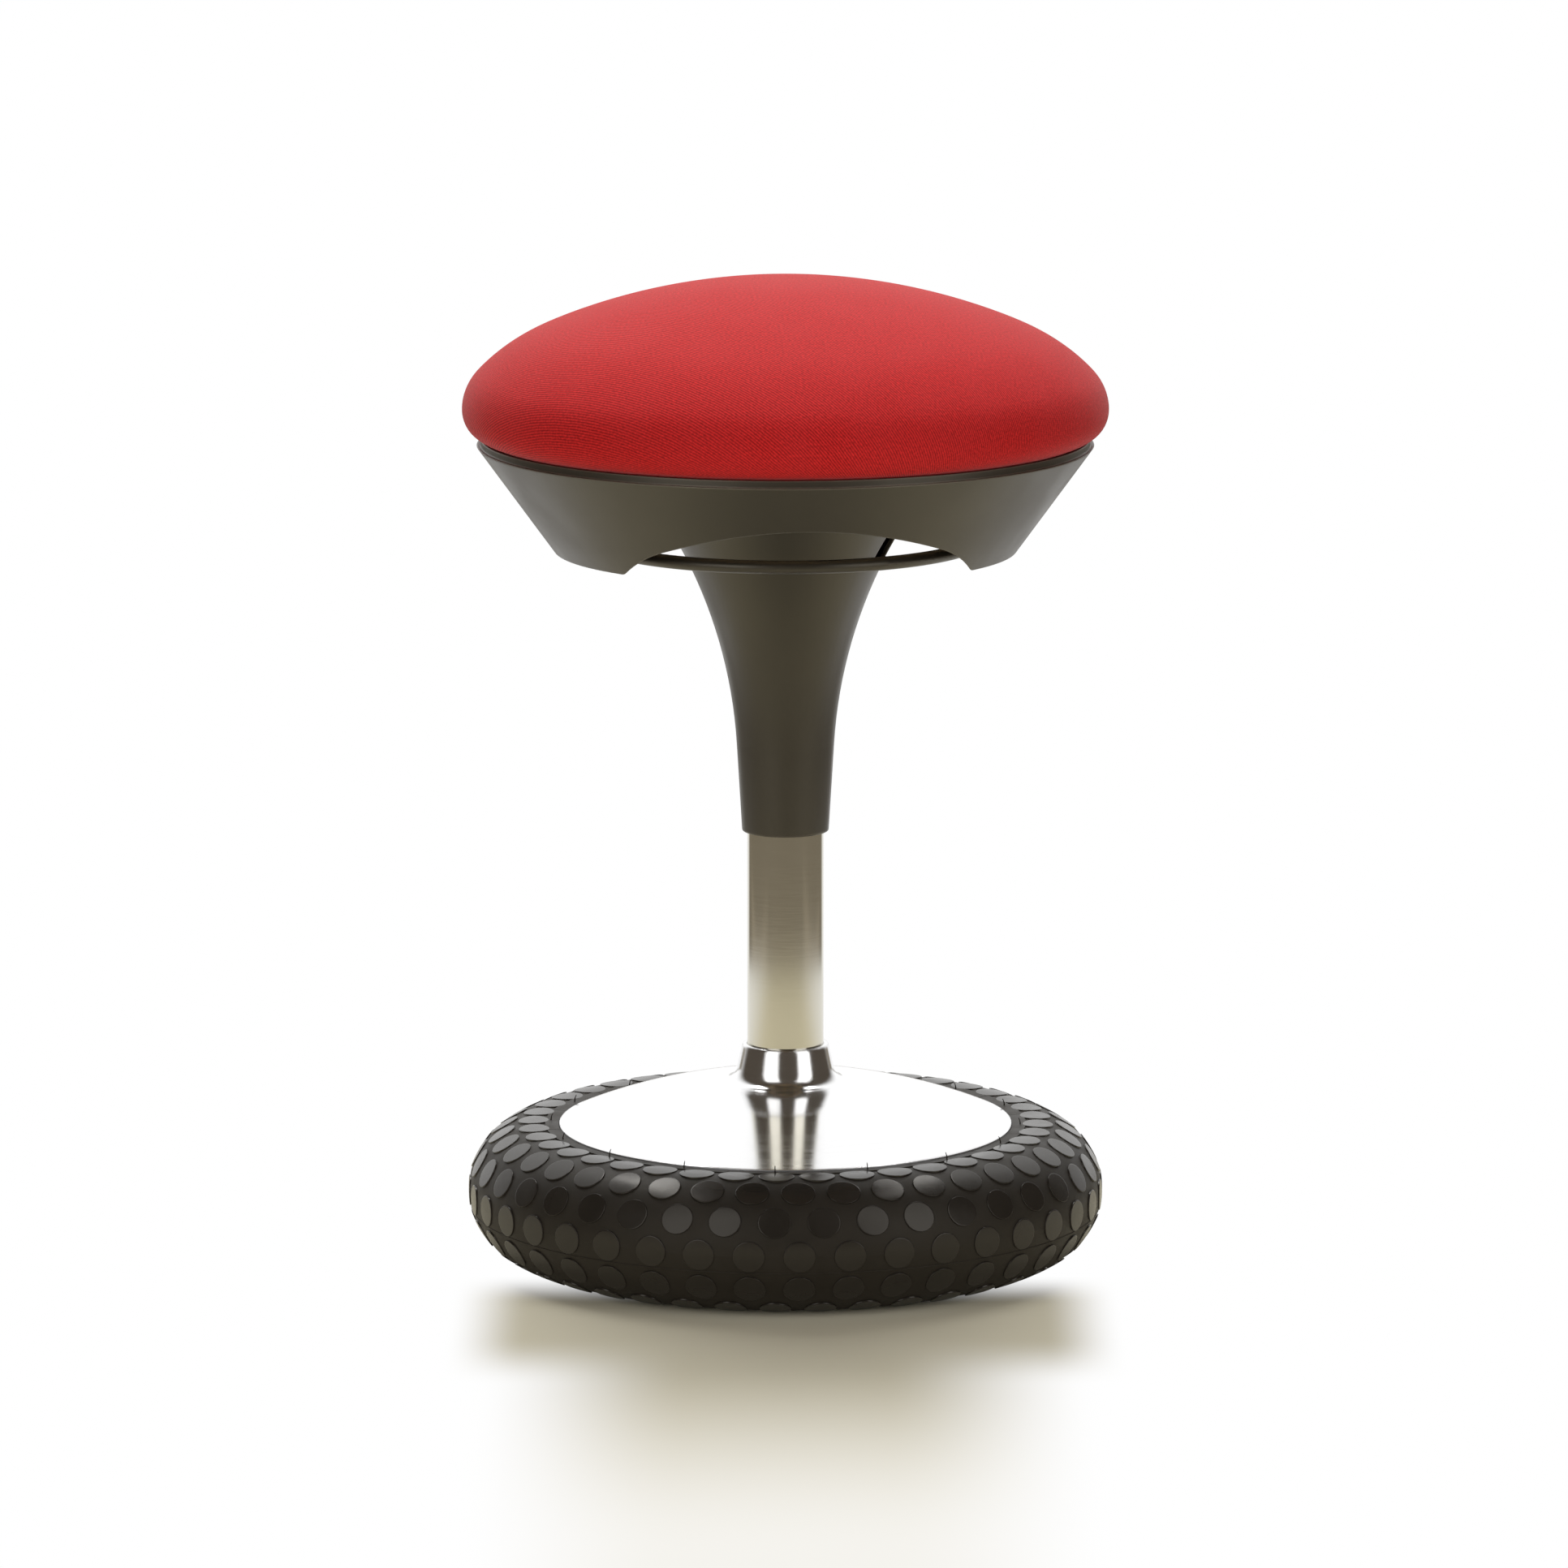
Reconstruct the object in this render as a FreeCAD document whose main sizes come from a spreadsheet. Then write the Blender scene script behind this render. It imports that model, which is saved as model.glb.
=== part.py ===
"""Wobble stool: a round cushion on a gas spring, over a weighted base with a rounded rubber tyre.

Millimetres, +Z up. The origin is the centre of the base on the floor. The finger arches in the
seat shell face -Y (front) and +Y (back).
"""
import FreeCAD, Part
import collections
import math
import os
import Sketcher
import types

DRIVING = (
    # rubber tyre
    ("tyre_radius", 177.6),
    ("tyre_section", 37.1),
    ("land_depth", 0.1),
    ("bead_reach", 2.5),
    ("bead_height", 38.0),
    ("bead_depth", 3.6),
    ("lip_width", 7.7),
    ("lip_rise", 0.3),
    ("lip_drop", 0.6),
    ("seam_length", 12.0),
    ("seam_width", 0.4),
    ("seam_depth", 0.4),
    ("seam_turn", 4.25),
    ("seam_count", 16),
    # base dome
    ("disc_inset", 50.6),
    ("disc_edge_z", 74.5),
    ("disc_edge_depth", 3.7),
    ("dome_arc", 320.0),
    ("dome_wall", 5.0),
    ("skirt_inset", 3.0),
    ("skirt_wall", 6.0),
    ("neck_height", 20.5),
    ("neck_wall", 2.5),
    ("neck_spread", 4.6),
    ("neck_fillet", 9.0),
    ("neck_edge", 1.5),
    ("sleeve_wall", 4.5),
    ("sleeve_foot_z", 34.0),
    ("boss_radius", 9.0),
    # weight, plate and screws under the dome
    ("plate_z", 9.0),
    ("plate_wall", 3.0),
    ("ballast_depth", 12.0),
    ("base_screw_circle", 80.0),
    ("base_screw_radius", 4.0),
    ("base_screw_head", 7.5),
    ("base_screw_head_depth", 3.8),
    ("base_screw_length", 37.0),
    ("base_screw_count", 4),
    ("thread_spare", 2.0),
    ("plate_inset", 0.4),
    # column tube and thrust bearing
    ("tube_radius", 21.4),
    ("tube_wall", 2.0),
    ("tube_top_z", 268.0),
    ("end_disc_z", 18.0),
    ("end_disc_depth", 4.0),
    ("race_radius", 15.0),
    ("race_depth", 2.0),
    ("ball_radius", 2.0),
    ("ball_circle", 9.9),
    ("ball_count", 10),
    ("cage_inner", 6.5),
    ("cage_outer", 13.4),
    ("cage_depth", 1.8),
    ("bush_foot_z", 188.0),
    ("bush_flange_depth", 2.5),
    # gas spring
    ("rod_radius", 5.0),
    ("rod_foot_z", 13.5),
    ("rod_neck_radius", 4.0),
    ("collar_radius", 8.0),
    ("collar_depth", 3.0),
    ("clip_radius", 9.0),
    ("clip_depth", 1.2),
    ("clip_mouth", 6.4),
    ("bump_radius", 13.0),
    ("bump_tip_radius", 10.5),
    ("bump_length", 25.0),
    ("cylinder_radius", 14.0),
    ("cylinder_wall", 1.5),
    ("cylinder_foot_z", 180.0),
    ("cylinder_lip_radius", 9.0),
    ("cylinder_lip_depth", 2.0),
    ("rod_guide_depth", 14.0),
    ("piston_lift", 2.0),
    ("piston_depth", 10.0),
    ("nut_across", 13.0),
    ("nut_depth", 6.0),
    ("rod_end", 1.0),
    ("taper_z", 384.0),
    ("taper_length", 40.0),
    ("taper_fall", 1.0),
    ("taper_stand", 1.0),
    ("cylinder_cap_depth", 4.0),
    ("cylinder_mouth_radius", 5.0),
    ("valve_housing_depth", 22.0),
    ("pin_radius", 3.5),
    ("pin_flange_radius", 5.0),
    ("pin_flange_depth", 2.5),
    ("pin_tip_height", 1.2),
    # seat plate, its socket and bracket
    ("mechanism_turn", -20.0),
    ("socket_wall", 3.0),
    ("socket_overlap", 38.0),
    ("web_wall", 3.0),
    ("web_radius", 45.0),
    ("shoulder_radius", 68.0),
    ("flange_radius", 92.0),
    ("window_start", 42.0),
    ("window_width", 64.0),
    ("bracket_radius", 26.0),
    ("bracket_wall", 2.5),
    ("bracket_cap_depth", 3.0),
    ("bracket_window", 26.0),
    ("bracket_leg_count", 4),
    # release ring
    ("ring_inset", 20.5),
    ("ring_section", 3.75),
    ("ring_z", 406.5),
    ("hub_radius", 20.0),
    ("hub_depth", 4.1),
    ("hub_z", 431.0),
    ("arm_section", 2.75),
    ("arm_start", 10.0),
    ("arm_corner", 48.0),
    ("arm_bend_run", 4.3),
    # column cover
    ("cover_foot_z", 241.0),
    ("cover_waist_z", 290.6),
    ("cover_spread", 3.0),
    ("cover_flare", 270.0),
    ("cover_top_z", 428.0),
    ("cover_wall", 2.5),
    ("cover_edge", 1.0),
    ("ledge_radius", 28.0),
    ("ledge_depth", 3.0),
    ("notch_foot_z", 396.0),
    ("notch_width", 31.0),
    ("cover_screw_circle", 36.0),
    ("cover_screw_radius", 2.0),
    ("cover_screw_head", 4.0),
    ("cover_screw_head_depth", 2.4),
    # seat shell
    ("rim_z", 459.0),
    ("rim_inset", 8.3),
    ("shell_foot_z", 400.0),
    ("shell_taper", 42.8),
    ("shell_wall", 3.0),
    ("shell_edge", 1.0),
    ("shell_ledge_width", 31.3),
    ("upstand_inset", 2.1),
    ("upstand_wall", 2.5),
    ("upstand_height", 4.0),
    ("arch_rise", 32.4),
    ("arch_half_width", 95.0),
    ("arch_arc", 195.0),
    ("arch_shoulder", 74.5),
    ("arch_shoulder_arc", 40.0),
    ("arch_tip_arc", 3.0),
    ("arch_tip_run", 1.8),
    ("arch_tip_back", 0.85),
    ("arch_tip_rise", 1.6),
    ("gusset_count", 12),
    ("gusset_wall", 2.0),
    ("gusset_height", 16.0),
    ("gusset_turn", 15.0),
    ("shell_screw_inset", 8.0),
    ("shell_screw_count", 6),
    ("shell_screw_radius", 2.0),
    ("shell_screw_head", 3.8),
    ("shell_screw_head_depth", 2.6),
    ("shell_boss_radius", 4.5),
    ("shell_boss_depth", 10.0),
    ("shell_screw_bite", 10.0),
    # board, nuts and cushion
    ("board_inset", 14.6),
    ("board_depth", 12.0),
    ("seat_screw_circle", 80.0),
    ("seat_screw_count", 4),
    ("seat_screw_radius", 3.0),
    ("seat_screw_head", 5.5),
    ("seat_screw_head_depth", 4.0),
    ("seat_screw_length", 14.0),
    ("nut_barrel_radius", 4.0),
    ("nut_flange_radius", 9.0),
    ("nut_flange_depth", 1.3),
    ("nut_barrel_recess", 1.0),
    ("seat_top_z", 551.0),
    ("cushion_radius", 179.6),
    ("crown_height", 72.4),
    ("crown_angle", 23.2),
    ("shoulder_angle", 45.8),
    ("shoulder_arc", 28.85),
    ("under_arc", 15.5),
    ("cover_cloth", 1.2),
    ("hem_width", 12.0),
    # clearances
    ("running_gap", 0.06),
    ("fixed_gap", 0.1),
    ("free_gap", 0.3),
    # how far a cut runs past its piece, and a rib into the wall that it joins
    ("cut_past", 1.0),
    ("fuse_depth", 1.0),
)

doc = FreeCAD.newDocument("WobbleStool")
sheet = doc.addObject("Spreadsheet::Sheet", "Sizes")
for row, (alias, number) in enumerate(DRIVING, 1):
    sheet.set("A%d" % row, alias)
    sheet.set("B%d" % row, str(number))
    sheet.setAlias("B%d" % row, alias)
doc.recompute()


class Size:
    """A number with the spreadsheet expression that gives it."""

    def __init__(self, value, text):
        self.value = value
        self.text = text

    def combine(self, other, sign, value):
        return Size(value, "(%s %s %s)" % (self.text, sign, as_size(other).text))

    def __add__(self, other):
        return self.combine(other, "+", self.value + as_size(other).value)

    def __sub__(self, other):
        return self.combine(other, "-", self.value - as_size(other).value)

    def __mul__(self, other):
        return self.combine(other, "*", self.value * as_size(other).value)

    def __truediv__(self, other):
        return self.combine(other, "/", self.value / as_size(other).value)

    def __radd__(self, other):
        return as_size(other) + self

    def __rsub__(self, other):
        return as_size(other) - self

    def __rmul__(self, other):
        return as_size(other) * self

    def __neg__(self):
        return 0 - self


def as_size(number):
    return number if isinstance(number, Size) else Size(number, repr(number))


def root(area):
    return Size(math.sqrt(area.value), "sqrt(%s)" % area.text)


def sine(angle):
    return Size(math.sin(math.radians(angle.value)), "sin(%s)" % angle.text)


def cosine(angle):
    return Size(math.cos(math.radians(angle.value)), "cos(%s)" % angle.text)


d = types.SimpleNamespace(**{alias: Size(number, "Sizes." + alias) for alias, number in DRIVING})
Bend = collections.namedtuple("Bend", "radius left")


def new_body(label, turn=None, groups=False):
    """An empty body, turned about Z by a size, and allowed several solids where it groups pieces."""
    body = doc.addObject("PartDesign::Body", label)
    body.Label = label
    body.AllowCompound = groups
    if turn is not None:
        turning = FreeCAD.Rotation(FreeCAD.Vector(0, 0, 1), turn.value)
        body.Placement = FreeCAD.Placement(FreeCAD.Vector(), turning)
        body.setExpression(".Placement.Rotation.Angle", turn.text)
    return body


def origin_feature(body, role):
    return next(feature for feature in body.Origin.OriginFeatures if feature.Role == role)


def new_sketch(body, name, plane, lift=0, turn=0):
    """An empty sketch on one of the body's planes, lifted off it and turned about Z."""
    sketch = body.newObject("Sketcher::SketchObject", name)
    sketch.AttachmentSupport = [(origin_feature(body, plane), "")]
    sketch.MapMode = "FlatFace"
    lift, turn = as_size(lift), as_size(turn)
    upright = FreeCAD.Vector(0, 0, 1) if plane == "XY_Plane" else FreeCAD.Vector(0, 1, 0)
    sketch.AttachmentOffset = FreeCAD.Placement(FreeCAD.Vector(0, 0, lift.value),
                                                FreeCAD.Rotation(upright, turn.value))
    if lift.value:
        sketch.setExpression(".AttachmentOffset.Base.z", lift.text)
    if turn.value:
        sketch.setExpression(".AttachmentOffset.Rotation.Angle", turn.text)
    return sketch


def constrain(sketch, kind, *places_and_size):
    """Adds a constraint whose last argument is its size, bound to the sheet."""
    size = as_size(places_and_size[-1])
    index = sketch.addConstraint(Sketcher.Constraint(kind, *places_and_size[:-1], float(size.value)))
    sketch.setExpression("Constraints[%d]" % index, size.text)


def pin_down(sketch, edge, end, corner):
    constrain(sketch, "DistanceX", -1, 1, edge, end, corner[0])
    constrain(sketch, "DistanceY", -1, 1, edge, end, corner[1])


def arc_between(start, finish, bend):
    """The short arc from start to finish, with its centre on the left or the right of the way."""
    middle = (start + finish) * 0.5
    chord = finish - start
    side = FreeCAD.Vector(-chord.y, chord.x, 0).normalize() * (1 if bend.left else -1)
    rise = math.sqrt(max(as_size(bend.radius).value ** 2 - (chord.Length / 2) ** 2, 0))
    centre = middle + side * rise
    first, last = (start, finish) if bend.left else (finish, start)
    angles = [math.atan2(point.y - centre.y, point.x - centre.x) for point in (first, last)]
    circle = Part.Circle(centre, FreeCAD.Vector(0, 0, 1), as_size(bend.radius).value)
    return Part.ArcOfCircle(circle, angles[0], angles[1])


def draw(sketch, path, closed=True):
    """Draws the corners of a path; a Bend between two corners makes that edge an arc."""
    corners = [item for item in path if not isinstance(item, Bend)]
    bends = {}
    passed = 0
    for item in path:
        if isinstance(item, Bend):
            bends[passed - 1] = item
        else:
            passed += 1
    points = [FreeCAD.Vector(as_size(x).value, as_size(y).value, 0) for x, y in corners]
    count = len(corners) if closed else len(corners) - 1
    ends = []
    for index in range(count):
        start, finish = points[index], points[(index + 1) % len(points)]
        bend = bends.get(index)
        if bend is None:
            sketch.addGeometry(Part.LineSegment(start, finish), False)
        else:
            sketch.addGeometry(arc_between(start, finish, bend), False)
        ends.append((1, 2) if bend is None or bend.left else (2, 1))
    for index in range(count):
        pin_down(sketch, index, ends[index][0], corners[index])
        if closed or index < count - 1:
            following = (index + 1) % count
            sketch.addConstraint(Sketcher.Constraint("Coincident", index, ends[index][1],
                                                     following, ends[following][0]))
        if index in bends:
            constrain(sketch, "Radius", index, bends[index].radius)
    if not closed:
        pin_down(sketch, count - 1, ends[-1][1], corners[-1])


def spin(body, name, path, kind="Revolution", axis_at=None, turn=0):
    """A full turn of a path about Z, or about an upright axis at a distance along X."""
    sketch = new_sketch(body, name + "_profile", "XZ_Plane", turn=turn)
    draw(sketch, path)
    axis = "V_Axis"
    if axis_at is not None:
        edge = sketch.addGeometry(Part.LineSegment(FreeCAD.Vector(axis_at.value, 0, 0),
                                                   FreeCAD.Vector(axis_at.value, 1, 0)), True)
        pin_down(sketch, edge, 1, (axis_at, 0))
        pin_down(sketch, edge, 2, (axis_at, 1))
        axis = "Axis0"
    feature = body.newObject("PartDesign::" + kind, name)
    feature.Profile = sketch
    feature.ReferenceAxis = (sketch, [axis])
    feature.Angle = 360
    doc.recompute()
    return feature


def circle_of(body, feature, count):
    """Repeats a feature evenly about Z."""
    pattern = body.newObject("PartDesign::PolarPattern", feature.Name + "_pattern")
    pattern.Originals = [feature]
    pattern.Axis = (origin_feature(body, "Z_Axis"), [""])
    pattern.Angle = 360
    pattern.Occurrences = as_size(count).value
    pattern.setExpression("Occurrences", as_size(count).text)
    body.Tip = pattern
    doc.recompute()
    return pattern


def extrude(body, name, kind, sketch, length=None, symmetric=False, reverse=False):
    """A pad or pocket of a sketch, through everything where it has no length."""
    feature = body.newObject("PartDesign::" + kind, name)
    feature.Profile = sketch
    feature.SideType = "Symmetric" if symmetric else "One side"
    feature.Reversed = reverse
    if length is None:
        feature.Type = "ThroughAll"
    else:
        feature.Length = as_size(length).value
        feature.setExpression("Length", as_size(length).text)
    doc.recompute()
    return feature


def drill(body, name, axis_at, radius, foot, top, count, turn=0):
    """A circle of upright holes."""
    near, far = axis_at, axis_at + radius
    hole = spin(body, name, [(near, foot), (far, foot), (far, top), (near, top)],
                "Groove", axis_at, turn)
    return circle_of(body, hole, count)


def fillet_rings(body, name, radius, rings):
    """Rounds the circular edges found at the given radii and heights."""
    edges = []
    for index, edge in enumerate(body.Shape.Edges, 1):
        if edge.Curve.TypeId != "Part::GeomCircle":
            continue
        for ring_radius, height in rings:
            if (abs(edge.Curve.Radius - as_size(ring_radius).value) < 0.01
                    and abs(edge.Curve.Center.z - as_size(height).value) < 0.01):
                edges.append("Edge%d" % index)
    base = body.Tip
    feature = body.newObject("PartDesign::Fillet", name)
    feature.Base = (base, edges)
    feature.Radius = radius.value
    feature.setExpression("Radius", radius.text)
    doc.recompute()
    return feature


def washer(label, inner, outer, foot, top):
    """A plain round piece with a bore."""
    body = new_body(label)
    spin(body, label + "_turning", [(inner, foot), (outer, foot), (outer, top), (inner, top)])
    return body


def screw_set(label, circle, count, shank, head, seat, head_depth, tip, turn=None, start=0):
    """A circle of like screws, heads down: the shank runs from the seat of the head up to the tip."""
    body = new_body(label, turn, groups=True)
    head_foot = seat - head_depth
    screw = spin(body, label + "_screw",
                 [(circle, head_foot), (circle + head, head_foot), (circle + head, seat),
                  (circle + shank, seat), (circle + shank, tip), (circle, tip)],
                 "Revolution", circle, start)
    circle_of(body, screw, count)
    return body


# Radii that several pieces share: the base goes by the tyre, and the seat by the cushion
disc_radius = d.tyre_radius - d.disc_inset
skirt_radius = disc_radius - d.skirt_inset
rim_radius = d.cushion_radius - d.rim_inset
shell_foot_radius = rim_radius - d.shell_taper
ring_radius = shell_foot_radius - d.ring_inset
board_radius = d.cushion_radius - d.board_inset

# Rubber tyre: a moulded ring of round section, flat only where it stands, with a lip round the disc
tyre_centre = d.tyre_radius - d.tyre_section
tyre_mid_z = d.tyre_section - d.land_depth
tyre_bore = skirt_radius + d.fixed_gap
rebate_radius = disc_radius + d.free_gap
rebate_z = d.disc_edge_z - d.disc_edge_depth
land_half = root(d.tyre_section * d.tyre_section - tyre_mid_z * tyre_mid_z)


def tyre_rise(radius):
    """Half the height of the tyre's round section at a radius."""
    reach = tyre_centre - radius
    return root(d.tyre_section * d.tyre_section - reach * reach)


def bead(radius, gap, edge_depth):
    """The bead on the skirt, or its groove in the tyre, from the top down."""
    half = d.bead_depth / 2 + gap
    return [(radius, d.bead_height + half + edge_depth),
            (radius + d.bead_reach, d.bead_height + half),
            (radius + d.bead_reach, d.bead_height - half),
            (radius, d.bead_height - half - edge_depth)]


lip_z = d.disc_edge_z - d.lip_drop
lip_top = tyre_mid_z + d.tyre_section + d.lip_rise
lip_edge = rebate_radius + d.lip_width
rubber_tyre = new_body("rubber_tyre")
spin(rubber_tyre, "tyre_moulding",
     [(tyre_bore, tyre_mid_z - tyre_rise(tyre_bore)),
      Bend(d.tyre_section, True),
      (tyre_centre - land_half, 0),
      (tyre_centre + land_half, 0),
      Bend(d.tyre_section, True),
      (d.tyre_radius, tyre_mid_z),
      Bend(d.tyre_section, True),
      (lip_edge, tyre_mid_z + tyre_rise(lip_edge)),
      (lip_edge, lip_top),
      (rebate_radius, lip_z),
      (rebate_radius, rebate_z),
      (tyre_bore, rebate_z)] + bead(tyre_bore, d.fixed_gap, d.bead_reach / 2))
seam_end = rebate_radius + d.seam_length
seam_top = lip_top + d.cut_past
seam_sketch = new_sketch(rubber_tyre, "lip_seam_outline", "XZ_Plane", turn=d.seam_turn)
draw(seam_sketch, [(seam_end, tyre_mid_z + tyre_rise(seam_end) - d.seam_depth),
                   (rebate_radius, lip_z - d.seam_depth),
                   (rebate_radius - d.cut_past, lip_z - d.seam_depth),
                   (rebate_radius - d.cut_past, seam_top),
                   (seam_end, seam_top)])
lip_seam = extrude(rubber_tyre, "lip_seam", "Pocket", seam_sketch, d.seam_width, symmetric=True)
circle_of(rubber_tyre, lip_seam, d.seam_count)

# Base dome: an aluminium casting, polished on top, with a neck and sleeve for the column
plate_top = d.plate_z + d.plate_wall
dome_centre_z = d.disc_edge_z - root(d.dome_arc * d.dome_arc - disc_radius * disc_radius)
dome_inner_arc = d.dome_arc - d.dome_wall
tube_bore = d.tube_radius + d.fixed_gap
sleeve_radius = tube_bore + d.sleeve_wall
neck_top_radius = tube_bore + d.neck_wall
skirt_bore = skirt_radius - d.skirt_wall


def on_sphere(arc, radius):
    return (radius, dome_centre_z + root(arc * arc - radius * radius))


neck_foot = on_sphere(d.dome_arc, neck_top_radius + d.neck_spread)
neck_top_z = neck_foot[1] + d.neck_height
base_dome = new_body("base_dome")
spin(base_dome, "dome_casting",
     [(tube_bore, d.sleeve_foot_z),
      (tube_bore, neck_top_z),
      (neck_top_radius, neck_top_z),
      neck_foot,
      Bend(d.dome_arc, False),
      (disc_radius, d.disc_edge_z),
      (disc_radius, rebate_z),
      (skirt_radius, rebate_z)] + bead(skirt_radius, 0, d.bead_reach / 2) +
     [(skirt_radius, plate_top),
      (skirt_bore, plate_top),
      on_sphere(dome_inner_arc, skirt_bore),
      Bend(dome_inner_arc, True),
      on_sphere(dome_inner_arc, sleeve_radius),
      (sleeve_radius, d.sleeve_foot_z)])
fillet_rings(base_dome, "neck_fillet_ring", d.neck_fillet, [neck_foot])
fillet_rings(base_dome, "neck_top_round", d.neck_edge, [(neck_top_radius, neck_top_z)])
ballast_top = plate_top + d.ballast_depth
boss_sketch = new_sketch(base_dome, "boss_outline", "XY_Plane", lift=ballast_top + d.fixed_gap)
boss_circle = boss_sketch.addGeometry(Part.Circle(FreeCAD.Vector(d.base_screw_circle.value, 0, 0),
                                                  FreeCAD.Vector(0, 0, 1), d.boss_radius.value), False)
pin_down(boss_sketch, boss_circle, 3, (d.base_screw_circle, 0))
constrain(boss_sketch, "Radius", boss_circle, d.boss_radius)
boss = base_dome.newObject("PartDesign::Pad", "screw_boss")
boss.Profile = boss_sketch
boss.Type = "UpToFirst"
doc.recompute()
circle_of(base_dome, boss, d.base_screw_count)
screw_tip_z = d.plate_z + d.base_screw_length
drill(base_dome, "boss_thread", d.base_screw_circle, d.base_screw_radius + d.fixed_gap,
      ballast_top - d.cut_past, screw_tip_z + d.thread_spare, d.base_screw_count)

# Ballast, plate and screws: the cast iron weight hangs on the dome's bosses
screw_hole = d.base_screw_radius + d.free_gap
ballast_disc = washer("ballast_disc", d.tube_radius + d.free_gap, skirt_bore - d.fixed_gap,
                      plate_top, ballast_top)
drill(ballast_disc, "ballast_hole", d.base_screw_circle, screw_hole, plate_top - d.cut_past,
      ballast_top + d.cut_past, d.base_screw_count)
bottom_plate = washer("bottom_plate", 0, skirt_radius - d.plate_inset, d.plate_z, plate_top)
drill(bottom_plate, "plate_hole", d.base_screw_circle, screw_hole, d.plate_z - d.cut_past,
      plate_top + d.cut_past, d.base_screw_count)
base_screws = screw_set("base_screws", d.base_screw_circle, d.base_screw_count, d.base_screw_radius,
                        d.base_screw_head, d.plate_z, d.base_screw_head_depth, screw_tip_z)

# Column tube: it stands on the bottom plate in the dome's sleeve, with a disc in its foot
tube_inner = d.tube_radius - d.tube_wall
disc_top = d.end_disc_z + d.end_disc_depth
rod_pass = d.rod_radius + d.free_gap
column_tube = washer("column_tube", tube_inner, d.tube_radius, plate_top, d.tube_top_z)
tube_end_disc = washer("tube_end_disc", rod_pass, tube_inner - d.fixed_gap, d.end_disc_z, disc_top)
bush_bore = d.cylinder_radius + d.running_gap
bush_top = d.tube_top_z + d.bush_flange_depth
guide_bush = new_body("guide_bush")
spin(guide_bush, "bush_moulding",
     [(bush_bore, d.bush_foot_z),
      (tube_inner - d.fixed_gap, d.bush_foot_z),
      (tube_inner - d.fixed_gap, d.tube_top_z),
      (d.tube_radius, d.tube_top_z),
      (d.tube_radius, bush_top),
      (bush_bore, bush_top)])

# Thrust bearing: it lets the rod turn with the seat
lower_race_top = disc_top + d.race_depth
ball_gap = d.fixed_gap / 2
ball_mid_z = lower_race_top + ball_gap + d.ball_radius
upper_race_foot = ball_mid_z + d.ball_radius + ball_gap
upper_race_top = upper_race_foot + d.race_depth
lower_race = washer("lower_race", rod_pass, d.race_radius, disc_top, lower_race_top)
upper_race = washer("upper_race", d.rod_radius + d.fixed_gap, d.race_radius, upper_race_foot,
                    upper_race_top)
cage_foot = ball_mid_z - d.cage_depth / 2
bearing_cage = washer("bearing_cage", d.cage_inner, d.cage_outer, cage_foot, cage_foot + d.cage_depth)
drill(bearing_cage, "ball_pocket", d.ball_circle, d.ball_radius + d.fixed_gap,
      cage_foot - d.cut_past, cage_foot + d.cage_depth + d.cut_past, d.ball_count)
bearing_balls = new_body("bearing_balls", groups=True)
ball = spin(bearing_balls, "ball",
            [(d.ball_circle, ball_mid_z - d.ball_radius),
             Bend(d.ball_radius, True),
             (d.ball_circle + d.ball_radius, ball_mid_z),
             Bend(d.ball_radius, True),
             (d.ball_circle, ball_mid_z + d.ball_radius)],
            "Revolution", d.ball_circle)
circle_of(bearing_balls, ball, d.ball_count)

# Gas spring rod: it stands on the bearing by its collar and carries the piston
collar_top = upper_race_top + d.collar_depth
clip_top = d.end_disc_z - d.free_gap
clip_foot = clip_top - d.clip_depth
guide_foot = d.cylinder_foot_z + d.cylinder_lip_depth
guide_top = guide_foot + d.rod_guide_depth
piston_foot = guide_top + d.piston_lift
piston_top = piston_foot + d.piston_depth
rod_top = piston_top + d.nut_depth + d.rod_end
piston_rod = new_body("piston_rod")
spin(piston_rod, "rod_turning",
     [(0, d.rod_foot_z),
      (d.rod_radius, d.rod_foot_z),
      (d.rod_radius, clip_foot - d.fixed_gap),
      (d.rod_neck_radius, clip_foot - d.fixed_gap),
      (d.rod_neck_radius, clip_top + d.fixed_gap),
      (d.rod_radius, clip_top + d.fixed_gap),
      (d.rod_radius, upper_race_top),
      (d.collar_radius, upper_race_top),
      (d.collar_radius, collar_top),
      (d.rod_radius, collar_top),
      (d.rod_radius, piston_foot),
      (d.rod_neck_radius, piston_foot),
      (d.rod_neck_radius, rod_top),
      (0, rod_top)])
rod_clip = washer("rod_clip", d.rod_neck_radius + d.fixed_gap, d.clip_radius, clip_foot, clip_top)
mouth_sketch = new_sketch(rod_clip, "clip_mouth_outline", "XY_Plane")
draw(mouth_sketch, [(0, -d.clip_mouth / 2), (d.clip_radius * 2, -d.clip_mouth / 2),
                    (d.clip_radius * 2, d.clip_mouth / 2), (0, d.clip_mouth / 2)])
extrude(rod_clip, "clip_opening", "Pocket", mouth_sketch, reverse=True)
bump_stop = new_body("bump_stop")
spin(bump_stop, "bump_moulding",
     [(d.rod_radius + d.fixed_gap, collar_top),
      (d.bump_radius, collar_top),
      (d.bump_radius, collar_top + d.bump_length / 2),
      (d.bump_tip_radius, collar_top + d.bump_length),
      (d.rod_radius + d.fixed_gap, collar_top + d.bump_length)])
cylinder_bore = d.cylinder_radius - d.cylinder_wall
piston = washer("piston", d.rod_neck_radius + d.fixed_gap, cylinder_bore - d.running_gap,
                piston_foot, piston_top)
piston_nut = new_body("piston_nut")
nut_sketch = new_sketch(piston_nut, "nut_outline", "XY_Plane", lift=piston_top)
nut_sides = 6
nut_corner = d.nut_across / (2 * cosine(as_size(180 / nut_sides)))
nut_turns = [as_size(360 / nut_sides * k) for k in range(nut_sides)]
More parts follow.
